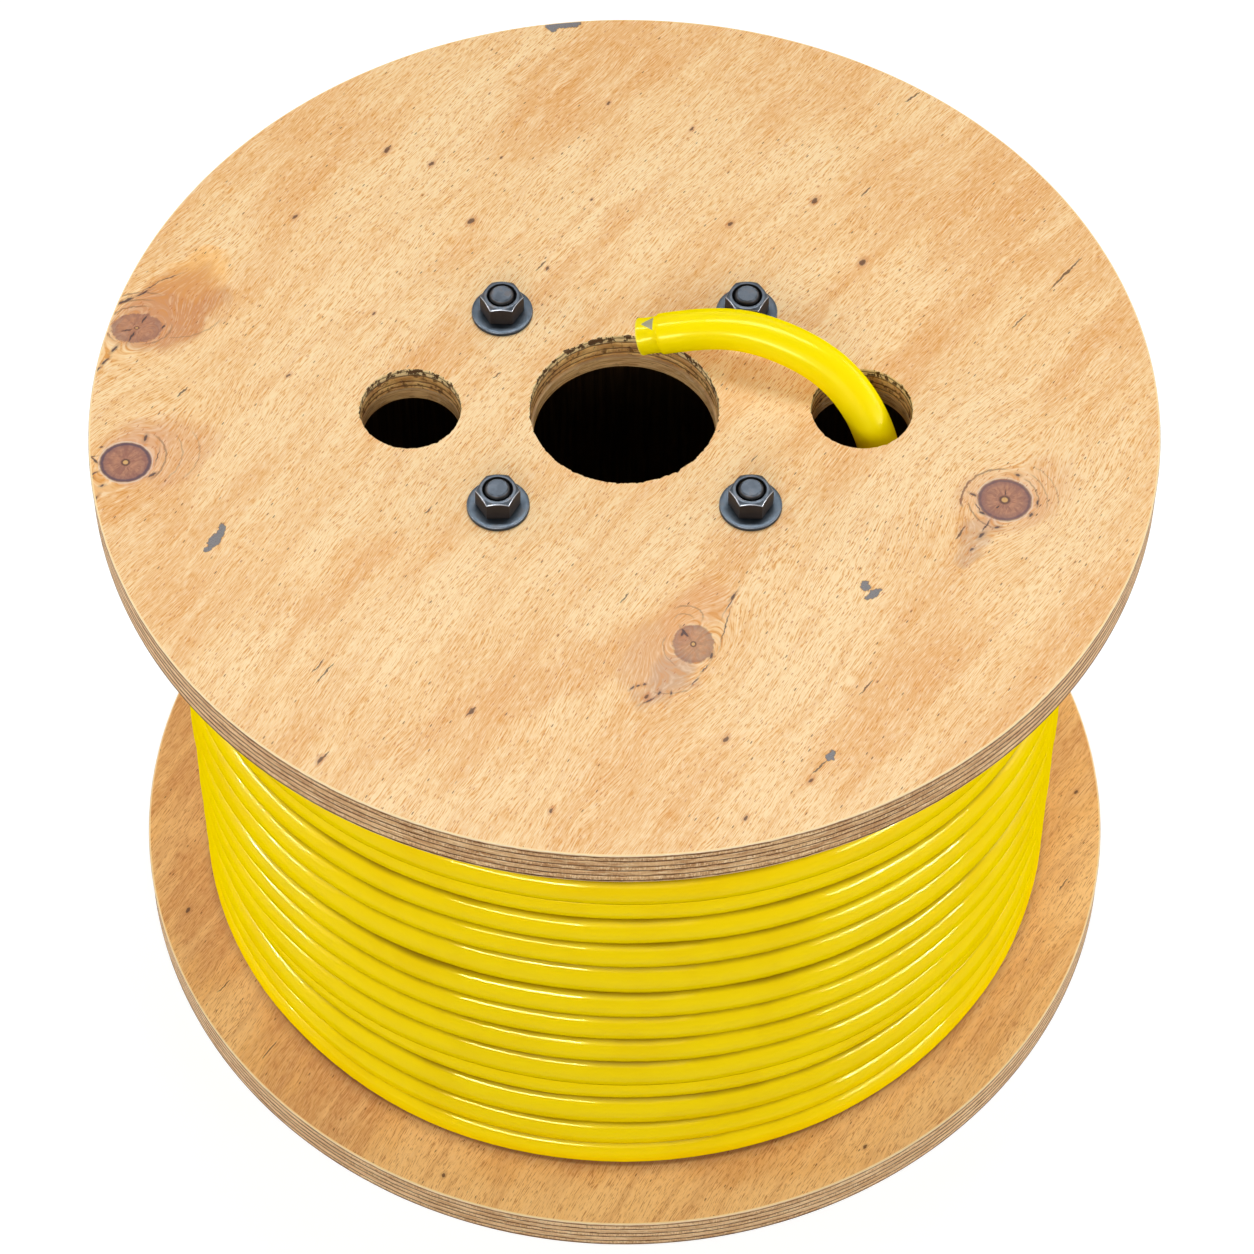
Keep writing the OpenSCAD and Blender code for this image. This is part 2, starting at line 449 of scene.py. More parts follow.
def unwrap(piece, rings, length):
    # along the cable in U, round it in V
    mesh = piece.data
    where = {}
    for i, ring in enumerate(rings):
        for k, index in enumerate(ring):
            where[index] = (i / (len(rings) - 1) * length, k / len(ring))
    layer = mesh.uv_layers.new(name="UVMap")
    for face in mesh.polygons:
        around = [where[v][1] for v in face.vertices]
        wraps = max(around) - min(around) > 0.5
        for corner in face.loop_indices:
            u, v = where[mesh.loops[corner].vertex_index]
            layer.data[corner].uv = (u, 1 if wraps and v < 0.5 else v)


def makeTail(settings):
    radius = settings["diameter"] / 2
    points = smoothRoute(settings["route"], settings["stepsPerPoint"])
    heading = headings(points)[-1]
    edge, steps = settings["edgeRounding"], settings["edgeSteps"]
    path = list(points)
    for k in range(1, steps):  # more points for the rounding at the cut end
        path.insert(-1, points[-1] - heading * edge * (1 - k / steps))
    radii = [radius + settings["uneven"] * noise.noise(point / 9) for point in path]
    for k in range(1, steps + 1):
        radii[k - steps - 1] = radius - edge * (1 - math.sqrt(1 - (k / steps) ** 2))
    shell = Shell()
    rings, side = tubeRings(shell, path, radii, settings["sides"])
    shell.cap(rings[0])
    shell.cap(rings[-1])
    tail = shell.piece("cableTail", [tailSheath])
    unwrap(tail, rings, settings["turnLength"])
    return tail, points, heading, side


capLook = {
    "yellow": tone(248, 226, 0),
    "deepYellow": tone(232, 204, 10),
    "rim": tone(250, 236, 90),
    # a plain grey wedge on the upper side, narrow towards the open end
    "mark": tone(150, 148, 138),
    "markStart": 1.2,
    "markLength": 6.4,
    "markWidth": 4.2,
    "markSoft": 0.4,
}


def makeCapPlastic(centre, axis, look):
    made, graph = newMaterial("endCapPlastic")
    x, y, z = graph.place()
    level = Vector((-axis.y, axis.x, 0)).normalized()
    along = (x - centre.x) * axis.x + (y - centre.y) * axis.y + (z - centre.z) * axis.z
    across = (x - centre.x) * level.x + (y - centre.y) * level.y
    cloudy = graph.noise(x / 6, y / 6, z / 6, 3, 0.6)
    edge = cloudy * 0.5 - 0.25
    start, soft = look["markStart"], look["markSoft"]
    reach = (start + look["markLength"] - along) / look["markLength"]
    inside = graph.rise(along + edge, start, start + soft)
    inside = inside * graph.rise(reach * look["markWidth"] - abs(across) + edge, 0, soft)
    inside = inside * (z > centre.z + 2)
    colour = graph.lay(look["yellow"], look["deepYellow"], cloudy, 0.4, 0.7, 0.4)
    colour = graph.lay(colour, look["rim"], along, 9, 9.7, 0.5)
    colour = graph.mix(inside * 0.9, colour, look["mark"])
    finishMaterial(
        graph, colour, 0.16 + cloudy * 0.1, cloudy * 0.08,
        specular=sheathLook["specular"], tint=sheathLook["tint"], fade=sheathLook["fade"],
    )
    return made


# radius and distance from the sheath's end, from the step to the open rim and the plug inside it
capProfile = [
    (8.95, 0.02), (8.9, 0.5), (8.72, 1.3), (8.62, 3.2), (8.62, 6), (8.7, 7.8), (8.88, 8.8),
    (8.95, 9.4), (8.9, 9.8), (8.7, 9.98), (8.35, 10), (8.1, 9.85), (7.95, 9.4), (7.9, 7.6),
    (7.6, 7.2), (3, 7), (0.6, 6.9),
]


def makeCap(end, heading, side, plastic):
    shell = Shell()
    rings = [
        shell.ring(hoop(end + heading * reach, radius, heading, side, 48)) for radius, reach in capProfile
    ]
    shell.stack(rings)
    shell.cap(rings[0])
    shell.cap(rings[-1])
    return shell.piece("cableEndCap", [plastic], 50)


tail, tailPath, tailHeading, tailSide = makeTail(tailSettings)
capPlastic = makeCapPlastic(tailPath[-1], tailHeading, capLook)
endCap = makeCap(tailPath[-1], tailHeading, tailSide, capPlastic)
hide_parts("cable_tail")
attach(tail, "root")
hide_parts("cable_end_cap")
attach(endCap, "root")
tuple(tailPath[0] * mm)
[tuple(point * mm) for point in tailPath]
print("cable tail made")


def newTree(name, inputs):
    # inputs: a kind of socket by name; gives the tree, its graph and what comes in
    tree = bpy.data.node_groups.new(name, "GeometryNodeTree")
    for label, kind in inputs.items():
        tree.interface.new_socket(name=label, in_out="INPUT", socket_type="NodeSocket" + kind)
    tree.interface.new_socket(name="Geometry", in_out="OUTPUT", socket_type="NodeSocketGeometry")
    graph = Graph(tree)
    entry = graph.node("NodeGroupInput")
    return tree, graph, [entry.other(i) for i in range(len(inputs))]


def endTree(graph, geometry, material):
    real = graph.node("GeometryNodeRealizeInstances", None, {"Geometry": geometry})
    finished = graph.node("GeometryNodeSetMaterial", None, {"Geometry": real, "Material": material})
    graph.node("NodeGroupOutput", None, {0: finished})


def runTree(base, tree, values):
    # gives the base object the tree's result as a plain mesh
    modifier = base.modifiers.new(tree.name, "NODES")
    modifier.node_group = tree
    for item in tree.interface.items_tree:
        if item.in_out == "INPUT" and item.name in values:
            modifier[item.identifier] = values[item.name]
    view = bpy.context.evaluated_depsgraph_get()
    mesh = bpy.data.meshes.new_from_object(base.evaluated_get(view))
    base.modifiers.clear()
    base.data = mesh
    return mesh


windingSettings = {
    "cableRadius": 9.75,
    "outerRadius": 219.2,
    "layers": 4,
    "layerPitch": 16.52,
    "stepsPerTurn": 120,
    "sides": 24,
    "crossover": 0.11,  # share of a turn in which the cable climbs to the next row, at the back
    "waver": 0.9,
    "sharedWaver": 2.2,
    "ownWaver": 1.5,
    "pushWaver": 1.6,  # in and out
    "pushIn": 0.4,
    "seed": 3,
    "sag": 22,  # how far the turns dip at the sides, halfway up the winding
    "sagFades": ((21, 160), (331, 240)),  # heights of none and of all, from below and from above
    "tuck": 17,  # how far both ends sink into the winding
    "flangeGap": 0.1,
    "turnLength": 13,  # how far the UV map runs in one turn
    "coreSteps": 120,
    "coreWidth": 0.83,  # width of its turns on both ends, against the cable's
    "stubLength": 48,  # the run in to the tail
    "stubGap": 0.01,
    # a row's height, half its width, and how far it is sunk between its neighbours
    "rows": [
        (30.9, 9.8, 0), (49.6, 10, 0.1), (71, 12, 0), (89, 9.6, 2.6), (106.6, 11.4, 0),
        (128, 10.5, 0.2), (148.6, 10.6, 0.3), (169.7, 10.8, 0), (192.4, 12, 0.3), (214.2, 10.2, 0),
        (234.3, 10.3, 0.2), (251.6, 9.6, 2.3), (267.4, 10.2, 0), (286.2, 9.9, 0.2), (304, 9.8, 0),
        (321.2, 9.7, 0.1),
    ],
}


def rowCurve(graph, row, values):
    # reads one of the rows' numbers off a curve through all of them
    low, high = min(values), max(values)
    reach = max(high - low, 1e-6)
    last = len(values) - 1
    curve = [(i / last, (value - low) / reach) for i, value in enumerate(values)]
    read = graph.node("ShaderNodeFloatCurve", {"curve": curve}, {"Value": row / last})
    return read * reach + low


def windCable(settings):
    turns = len(settings["rows"])
    inputs = {
        "Turns": "Float", "Steps": "Int", "Sides": "Int", "Cable Radius": "Float",
        "Outer Radius": "Float", "Waver": "Float", "Sag": "Float", "Crossover": "Float",
        "Seed": "Float", "Sheath": "Material",
    }
    tree, graph, entries = newTree("windCable", inputs)
    count, steps, sides, cableRadius, outerRadius, waver, sag, crossover, seed, material = entries
    grid = graph.node("GeometryNodeMeshGrid", None, {
        "Size X": 1, "Size Y": 1, "Vertices X": count * steps + 1, "Vertices Y": sides + 1,
    })
    u, v = graph.axes(grid.other(1))[:2]
    turn = u * count
    done = graph.math("FLOOR", graph.lower(turn, count - 0.0001))
    part = turn - done
    climb = graph.rise(part, 1 - crossover, 1)
    row = done + climb
    tuck = settings["tuck"]
    rows = settings["rows"] + [settings["rows"][-1][:2] + (tuck,)]
    height = rowCurve(graph, row, [r[0] for r in rows])
    halfWidth = rowCurve(graph, row, [r[1] for r in rows])
    sunk = rowCurve(graph, row, [r[2] for r in rows]) + graph.rise(turn, 0.07, 0) * tuck
    angle = turn * (2 * math.pi)
    across, ahead = graph.sine(angle), graph.math("COSINE", angle)
    # a slow waver that neighbours share, and a smaller one of each row's own
    shared = graph.noise(across * 1.7, ahead * 1.7, height / 140, 2, 0.5, seed=2) - 0.5
    own = graph.noise(across * 3.1, ahead * 3.1, done * 3.7 + seed, 2, 0.5) - 0.5
    lift = (shared * settings["sharedWaver"] + own * settings["ownWaver"]) * waver
    dip = (1 - graph.math("COSINE", angle * 2 - 0.21)) * 0.5 * sag
    sagged = dip
    for none, full in settings["sagFades"]:
        sagged = sagged * graph.rise(height, none, full)
    lift = lift - sagged
    halfWidth = halfWidth + dip * 0.1 * graph.rise(height, 215, 250)
    push = graph.noise(across * 2.3, ahead * 2.3, done * 5.3 + seed, 1, 0.5, seed=5) - 0.5
    push = push * waver * settings["pushWaver"] - settings["pushIn"]
    around = v * (2 * math.pi)
    outwards, upwards = graph.math("COSINE", around), graph.sine(around)
    ends = graph.lower(u * count * steps, (1 - u) * count * steps, 1)  # both ends close to a point
    reach = outerRadius - cableRadius - sunk + push + outwards * cableRadius * ends
    z = height + lift + upwards * halfWidth * ends
    low = span("flange_bottom")[1] + settings["flangeGap"]
    high = span("flange_top")[0] - settings["flangeGap"]
    z = graph.lower(graph.higher(z, low), high)
    spot = graph.vector(across * reach * mm, ahead * reach * mm, z * mm)
    moved = graph.node("GeometryNodeSetPosition", None, {"Geometry": grid, "Position": spot})
    mapped = graph.node(
        "GeometryNodeStoreNamedAttribute",
        {"data_type": "FLOAT2", "domain": "CORNER"},
        {"Geometry": moved, "Name": "UVMap", "Value": graph.vector(turn * settings["turnLength"], v)},
    )
    closed = graph.node("GeometryNodeMergeByDistance", None, {"Geometry": mapped, "Distance": 0.00001})
    endTree(graph, closed, material)
    base = bpy.data.objects.new("woundCable", bpy.data.meshes.new("woundCable"))
    bpy.context.collection.objects.link(base)
    runTree(base, tree, {
        "Turns": float(turns), "Steps": settings["stepsPerTurn"], "Sides": settings["sides"],
        "Cable Radius": settings["cableRadius"], "Outer Radius": settings["outerRadius"],
        "Waver": settings["waver"], "Sag": float(settings["sag"]), "Crossover": settings["crossover"],
        "Seed": float(settings["seed"]), "Sheath": sheath,
    })
    return base


def makeCore(settings):
    # the layers beneath the outer one, whose turns show on both ends, and the run in through the barrel
    low, high = span("cable_coil")
    radius, count, around = settings["cableRadius"], settings["layers"] - 1, settings["coreSteps"]
    inner = settings["outerRadius"] - 2 * radius - count * settings["layerPitch"]
    arcSteps, rowSteps = 8, 6  # over a turn on the ends, and over a row on the outside
    ends = []
    for layer in range(count):
        middle = inner + radius + layer * settings["layerPitch"]
        for step in range(1 if layer else 0, arcSteps + 1):
            angle = math.pi * (1 - step / arcSteps)
            out = middle + radius * math.cos(angle) * settings["coreWidth"]
            ends.append((out, radius * (1 - math.sin(angle))))
    rows = len(settings["rows"]) * rowSteps
    outer = ends[-1][0]
    shell = Shell()
    rings = [shell.ring(circle(out, around, low + rise)) for out, rise in ends]
    for step in range(1, rows):
        bulge = radius * abs(math.sin(math.pi * step / rowSteps)) ** 0.7 - radius
        height = low + radius + (high - low - 2 * radius) * step / rows
        rings.append(shell.ring(circle(outer + 1 + bulge * 0.8, around, height)))
    rings += [shell.ring(circle(out, around, high - rise)) for out, rise in ends[::-1]]
    shell.stack(rings + rings[:1])
    start, stub = Vector(tailSettings["route"][0]), settings["stubLength"]
    run = stub - settings["stubGap"]
    inwards = [start + Vector((k * run / 6 - stub, 0, 0)) for k in range(7)]
    rings = tubeRings(shell, inwards, [radius] * len(inwards), tailSettings["sides"])[0]
    shell.cap(rings[0])
    shell.cap(rings[-1])
    core = shell.piece("windingCore", [sheath])
    core.data.uv_layers.new(name="UVMap")
    return core


def joinPieces(first, second):
    view = bmesh.new()
    view.from_mesh(first.data)
    view.from_mesh(second.data)
    view.to_mesh(first.data)
    view.free()
    bpy.data.objects.remove(second)
    return first


winding = windCable(windingSettings)
winding = joinPieces(winding, makeCore(windingSettings))
winding.data.materials.clear()
winding.data.materials.append(sheath)
winding.data.polygons.foreach_set("material_index", [0] * len(winding.data.polygons))
tidyMesh(winding.data, 60)
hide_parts("cable_coil")
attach(winding, "root")
print("winding made:", len(winding.data.polygons), "faces")


# the plies from a flange's plain face inwards: where each glue line lies, in millimetres
plyLines = [1.4, 4.4, 8.6, 11.8, 15.8, 19.5]
flangeThickness = 21

faceLook = {
    "grain": 55.5,  # degrees from X
    "seed": 1,
    "cream": tone(253, 221, 168),
    "base": tone(247, 206, 148),
    "orange": tone(234, 175, 110),
    "fibre": tone(222, 147, 58),
    "pale": tone(255, 234, 194),
    "pore": tone(196, 104, 34),
    "deepPore": tone(104, 52, 18),
    "crack": tone(84, 54, 40),
    "fillerRim": tone(78, 64, 60),
    "filler": tone(104, 102, 106),
    "fillerLight": tone(146, 144, 146),
    # colour of the painted shadow along the foot of the winding
    "footShadow": tone(112, 64, 28),
    "relief": 0.012,
    "roughness": 0.6,
    # length and width of what follows the grain
    "wander": (60, 26),
    "drift": (30, 12),
    "broad": (130, 34),
    "streaks": (52, 6.5),
    "strokes": (5, 0.5),
    "hairs": (30, 0.42),
    "pores": (6, 1.6),
    "bow": 0.00018,  # how strongly the grain curves
    "knotBend": 420,  # how strongly it bends round a knot
    "foot": 0,  # radius at which the winding stands on the face, if it does
    # warm areas, then pale ones: middle, half sizes, turn from X
    "warm": [
        ((-20, 205), (66, 28), 42), ((185, 125), (60, 26), 52), ((-228, 108), (40, 13), 60),
        ((-222, -62), (34, 18), 57), ((-40, -160), (95, 13), 30), ((118, -168), (60, 16), 52),
        ((52, -82), (52, 11), 58), ((140, 30), (66, 10), 54), ((-100, 22), (50, 8), 58),
        ((-150, 150), (52, 10), 48), ((205, -120), (36, 12), 56), ((90, 60), (40, 7), 50),
        ((-20, 95), (56, 8), 50), ((215, 30), (40, 9), 56), ((-130, -110), (48, 7), 52),
    ],
    "light": [
        ((-130, 62), (58, 22), 52), ((20, 145), (66, 24), 56), ((-100, -128), (60, 22), 46),
        ((82, -150), (48, 13), 52), ((120, -60), (40, 20), 52), ((-175, -20), (44, 16), 58),
        ((-60, -220), (46, 12), 22), ((170, 195), (40, 9), 40), ((-70, 200), (36, 12), 50),
    ],
    # middle, size: small dark pins
    "pins": [
        ((-159, 119), 1.5), ((-116, 162), 1.8), ((-94, 153), 1.6), ((-74, 116), 2), ((-60, 157), 0.8),
        ((92, 129), 2), ((51, 114), 1.6), ((114, 90), 2), ((-119, 58), 1), ((-158, 20), 1.3),
        ((-37, 86), 1), ((-8, 193), 1), ((33, 176), 1.1), ((-16, 130), 0.9), ((53, -230), 1.3),
        ((-32, -226), 1.3), ((-134, -199), 1.9), ((-68, -173), 1.6), ((45, -188), 1.7),
        ((10, -165), 1.3), ((82, -210), 1.4),
    ],
    # middle, half length, half width, turn from X: fine cracks
    "cracks": [
        ((211, 83), 13, 0.55, 51), ((187, 53), 6, 0.35, 52), ((-134, -152), 6.5, 0.4, 56),
        ((-137, -148), 4.5, 0.35, 56), ((117, 135), 4, 0.45, 52), ((142, 197), 5, 0.55, 40),
        ((-68, -173), 3.5, 0.45, 46), ((154, -73), 4.5, 0.6, 60), ((86, -203), 5, 0.45, 46),
        ((-40, 88), 4, 0.4, 56), ((108, -160), 5.5, 0.35, 52), ((-116, 163), 3, 0.55, 54),
        ((-207, 10), 4, 0.5, 52), ((-133, -198), 4.5, 0.45, 55), ((-90, -60), 3, 0.35, 50),
        ((60, -30), 2.6, 0.35, 56), ((-60, 20), 2.6, 0.35, 50), ((0, -110), 3.4, 0.35, 58),
    ],
    # middle, half sizes, turn from X: grey filler in cut-out patches
    "fills": [
        ((-184.6, -71.8), (4.4, 1.7), 74), ((-187, -77), (4.8, 2.5), 60),
        ((-189.5, -81.5), (3, 1.2), 50), ((113, -108), (4.6, 1.9), 40),
        ((109.5, -103.6), (2.6, 2), 110), ((91, -197), (3, 1.7), 60), ((-30, 247), (8, 2.6), 0),
        ((-36, 245), (3, 3.4), 20),
    ],
}

lowerLook = dict(
    faceLook,
    grain=57,
    seed=9,
    cream=tone(255, 209, 140),
    base=tone(243, 187, 112),
    orange=tone(208, 145, 86),
    fibre=tone(194, 128, 70),
    pale=tone(242, 198, 138),
    pore=tone(188, 126, 70),
    foot=215,
    warm=[
        ((-150, -190), (90, 26), 57), ((170, 150), (110, 36), 57), ((-205, 60), (84, 50), 57),
        ((-222, -60), (20, 50), 20),
    ],
    # the first two pale bands lie along the front rim, not along the grain: painted light on the front of
    # the face
    light=[
        ((0, -238), (120, 16), 0), ((60, -235), (70, 12), 7), ((150, -190), (50, 14), 57),
        ((-235, -20), (30, 9), 60),
    ],
    pins=[((-226, -66), 1.8), ((-222, 20), 1), ((238, 8), 1.2), ((120, -206), 1.2), ((-90, -222), 1.4)],
    cracks=[((-180, -150), 6, 0.4, 57), ((228, -50), 5, 0.4, 57), ((-205, -112), 5, 0.35, 50)],
    fills=[],
)

# A knot's stains, arcs and marks are placed from its middle. Stains: middle, half sizes, turn, colour,
# strength. Arcs: middle and half sizes of the oval, middle and reach of the part that shows, half
# width, strength. Marks: middle, half length, half width, turn.
knots = {
    "rimStreak": {
        "at": (-231, 49), "size": (12.4, 9.2), "wobble": 3.4, "rind": 0, "solid": 0.72, "eye": 0.07,
        "stains": [
            ((23, 32), (19, 10), 30, tone(250, 190, 108), 0.75),
            ((17, 12), (25, 17), 52, tone(208, 140, 88), 0.85),
            ((2, 2), (17, 14), 20, tone(214, 160, 118), 0.5),
        ],
        "arcs": [
            ((1, 1), (15.5, 12.5), (-9, 7), 17, 0.3, 0.6),
            ((1.5, 2), (18.5, 15.5), (-8, 10), 18, 0.3, 0.55),
            ((2, 3), (21.5, 19), (-6, 14), 19, 0.35, 0.6), ((2, 1), (14.5, 11), (10, -4), 10, 0.3, 0.5),
            ((17, 12), (24, 18), (28, -2), 15, 0.3, 0.35),
        ],
        "marks": [
            (-6.5, 16.8, 4.6, 0.9, 30), (1.4, 21.4, 4, 0.5, 34), (6, 26.4, 5, 0.28, 40),
            (13, 31, 5, 0.25, 24), (-9.8, -13, 2.6, 0.7, 56), (-13.5, -20.5, 2.6, 0.6, 50),
            (-17, -26, 3.2, 0.45, 50), (3.2, 5.4, 3, 0.6, 62), (-2, -5.2, 3.6, 0.6, 70),
            (-4.6, -1.4, 3.2, 0.4, 14), (12.6, 0.6, 1.6, 0.4, 60),
        ],
    },
    "rimRing": {
        "at": (-231, -32), "size": (11.8, 11.5), "wobble": 0.7, "rind": 1, "solid": 0.94, "eye": 0.12,
        "stains": [
            ((20, 8), (19, 17), 52, tone(222, 160, 112), 0.4),
            ((5.7, 3.3), (13.4, 15), 0, tone(220, 162, 124), 0.5),
        ],
        "arcs": [
            ((5.7, 3.3), (12.8, 15.2), (15, 3), 15, 0.35, 0.6),
            ((8, 5), (18, 19), (24, 2), 16, 0.25, 0.35), ((10, 6), (24, 22), (30, 4), 16, 0.25, 0.3),
        ],
        "marks": [
            (8.4, 14.2, 2, 0.9, 75), (-14.5, 1.5, 2.8, 0.5, -50), (-15.6, 3.4, 1.8, 0.4, 10),
            (-14.4, -6.8, 2.8, 0.5, 37), (-15.4, -8.6, 1.6, 0.4, -30), (12.8, -7.3, 2.4, 0.6, 30),
            (-12.7, -22, 2.8, 0.7, 62), (-10, -13.8, 1.2, 0.6, 20), (-11.6, 9, 1, 0.5, 30),
            (14.6, 3.5, 3.6, 0.2, 80),
        ],
    },
    "rightRing": {
        "at": (175, -54), "size": (12.3, 12), "wobble": 0.8, "rind": 0.7, "solid": 0.92, "eye": 0.14,
        "stains": [
            ((15, 6), (20, 16), 52, tone(230, 174, 124), 0.3),
            ((-13, -22), (15, 6), 48, tone(206, 160, 126), 0.5),
            ((0, -1), (18.5, 18), 0, tone(226, 170, 124), 0.45),
        ],
        "arcs": [
            ((0, -1.5), (20, 19.5), (-18, 4), 9, 0.4, 0.9),
            ((0, -1.5), (20, 19.5), (-8, 14), 12, 0.35, 0.7),
            ((0, -1), (16.6, 16), (-12, -9), 10, 0.3, 0.6),
            ((0.5, 0), (15, 15.6), (13, 4), 10, 0.3, 0.5), ((1, 0), (18.6, 19), (16, 5), 12, 0.25, 0.4),
            ((2, 1), (22.6, 22), (20, 8), 14, 0.25, 0.3),
        ],
        "marks": [
            (-14.4, 3.2, 1.9, 0.6, -32), (-12.5, -4.5, 2.4, 0.3, -62), (-10.6, -7.6, 1.7, 0.8, -35),
            (-9.2, -15, 4.2, 0.35, 58), (-11.6, -20.4, 2.2, 0.9, 50), (-16.3, -28.7, 1.2, 0.7, 45),
            (-4.3, -15.7, 1.5, 0.7, 10), (15, -1.5, 1.9, 0.6, 80), (11.7, -8.7, 1.6, 0.6, 50),
            (6.9, 14.6, 1.2, 0.8, -30), (-3.4, -4.2, 1.2, 0.5, 50), (0.6, 4.2, 2.2, 0.25, 80),
        ],
    },
    "frontSwirl": {
        "at": (31, -136), "size": (9.3, 10.8), "wobble": 2.2, "rind": 0.12, "solid": 0.68, "eye": 0.1,
        "stains": [
            ((-18, -6), (20, 12), 52, tone(222, 168, 122), 0.5),
            ((-12, -19), (15, 8), 38, tone(208, 166, 134), 0.75),
            ((3, 18), (16, 12), 60, tone(228, 164, 108), 0.5),
        ],
        "arcs": [
            ((-3, 15), (7.5, 6.5), (-1, 18), 8, 0.3, 0.5), ((-4, 13), (4.6, 4), (-4, 14), 5, 0.25, 0.4),
            ((-1, -1), (12.5, 13), (-11, -4), 10, 0.25, 0.35),
            ((-12, -19), (15, 8), (-10, -26), 9, 0.25, 0.4),
        ],
        "marks": [
            (-3.6, 6.4, 3, 0.7, -58), (-4.8, 5.6, 1.6, 0.6, 60), (8.1, -6.5, 1.9, 0.8, 75),
            (5, -13.6, 2.4, 0.3, 52), (0.6, -20.6, 2.6, 0.3, 58), (-20, -31, 3.6, 0.45, 30),
            (-15.4, -27, 1.4, 0.6, 60), (-10.3, -27, 1.2, 0.5, 85), (18.2, 26.6, 2.2, 0.55, 55),
            (-22, -22.3, 1, 0.5, 30), (-24.8, -22.8, 1, 0.5, 30), (-27.5, -24, 1.6, 0.5, 50),
            (14.6, 10, 9, 0.25, 76), (17.4, 24, 7, 0.25, 64),
        ],
    },
}

# the parts of the upper face that hold knots: middle, reach, which knots
knotPatches = [
    ((-228, 16), 90, ["rimStreak", "rimRing"]),
    ((176, -56), 44, ["rightRing"]),
    ((28, -139), 44, ["frontSwirl"]),
]


knotLook = {
    # its own wood, from the pith outwards
    "pith": tone(214, 170, 106),
    "eye": tone(84, 54, 50),
    "heart": tone(150, 98, 82),
    "heartLight": tone(184, 128, 100),
    "heartFibre": tone(206, 156, 124),
    "ring": tone(136, 90, 80),
    "ray": tone(82, 56, 58),
    "rim": tone(116, 80, 86),
    "rind": tone(82, 66, 82),
    "halo": tone(226, 204, 186),
    # what lies round it
    "arc": tone(140, 92, 64),
    "markEdge": tone(160, 104, 72),
    "mark": tone(60, 48, 56),
    "ringTurns": 24,  # closeness of the rings, and how far the rays break them
    "ringBreak": 14,
}


def stainRound(graph, colour, warped, knot, share=1):
    for middle, sizes, turn, stain, strength in knot["stains"]:
        reach = graph.oval(warped, (knot["at"][0] + middle[0], knot["at"][1] + middle[1]), sizes, turn)
        colour = graph.lay(colour, stain, reach, 2, 0.3, strength * share)
    return colour


def paintKnot(graph, colour, spot, fine, fibres, knot, look):
    middleX, middleY = knot["at"]

    def oval(source, middle, sizes, turn=0):
        return graph.oval(source, (middleX + middle[0], middleY + middle[1]), sizes, turn)

    shaken = graph.warp(spot, fine, knot["wobble"])
    bent = graph.warp(spot, fine, 1.5)
    for middle, sizes, window, reach, half, strength in knot["arcs"]:
        edge = graph.math("SQRT", oval(bent, middle, sizes)) * min(sizes)
        shown = graph.rise(oval(spot, window, (reach, reach)), 1, 0.4) * strength
        colour = graph.lay(colour, look["arc"], abs(edge - min(sizes)), half * 2, half * 0.5, shown)
    # its own wood: bent rings, broken rays and dark cracks from the pith
    away = graph.math("SQRT", oval(shaken, (0, 0), knot["size"]))
    plain = graph.math("SQRT", oval(spot, (0, 0), knot["size"]))
    headX, headY = graph.axes(graph.toward(spot, knot["at"]))[:2]
    rays = graph.noise(headX * 3.1, headY * 3.1, plain * 1.8, 3, 0.65, middleX)
    swirl = graph.sine(away * look["ringTurns"] + rays * look["ringBreak"]) * 0.5 + 0.5
    heart = graph.lay(look["heart"], look["heartLight"], rays, 0.38, 0.6)
    heart = graph.mix(swirl * 0.4, heart, look["ring"])
    heart = graph.lay(heart, look["heartFibre"], fibres, 0.52, 0.64, 0.3)
    heart = graph.lay(heart, look["rim"], away, 0.5, 0.98, 0.5)
    colour = graph.lay(colour, heart, away, 1.04, 0.94, knot["solid"])
    colour = graph.lay(colour, look["ray"], rays, 0.69, 0.76, graph.rise(away, 1, 0.85) * 0.5)
    if knot["rind"]:
        band = graph.rise(abs(away - 0.95), 0.11, 0.03)
        colour = graph.mix(band * knot["rind"] * 0.8, colour, look["rind"])
        colour = graph.lay(colour, look["halo"], abs(away - 1.06), 0.04, 0.015, knot["rind"] * 0.6)
    # pith in a dark eye
    colour = graph.lay(colour, look["eye"], plain, knot["eye"] * 1.9, knot["eye"] * 1.2, 0.85)
    colour = graph.lay(colour, look["pith"], plain, knot["eye"], knot["eye"] * 0.7)
    nearest = 99
    for markX, markY, half, wide, turn in knot["marks"]:
        nearest = graph.lower(oval(bent, (markX, markY), (half, wide), turn), nearest)
    colour = graph.lay(colour, look["markEdge"], nearest, 5, 1, 0.35)
    return graph.lay(colour, look["mark"], nearest, 1.15, 0.35, 0.85)


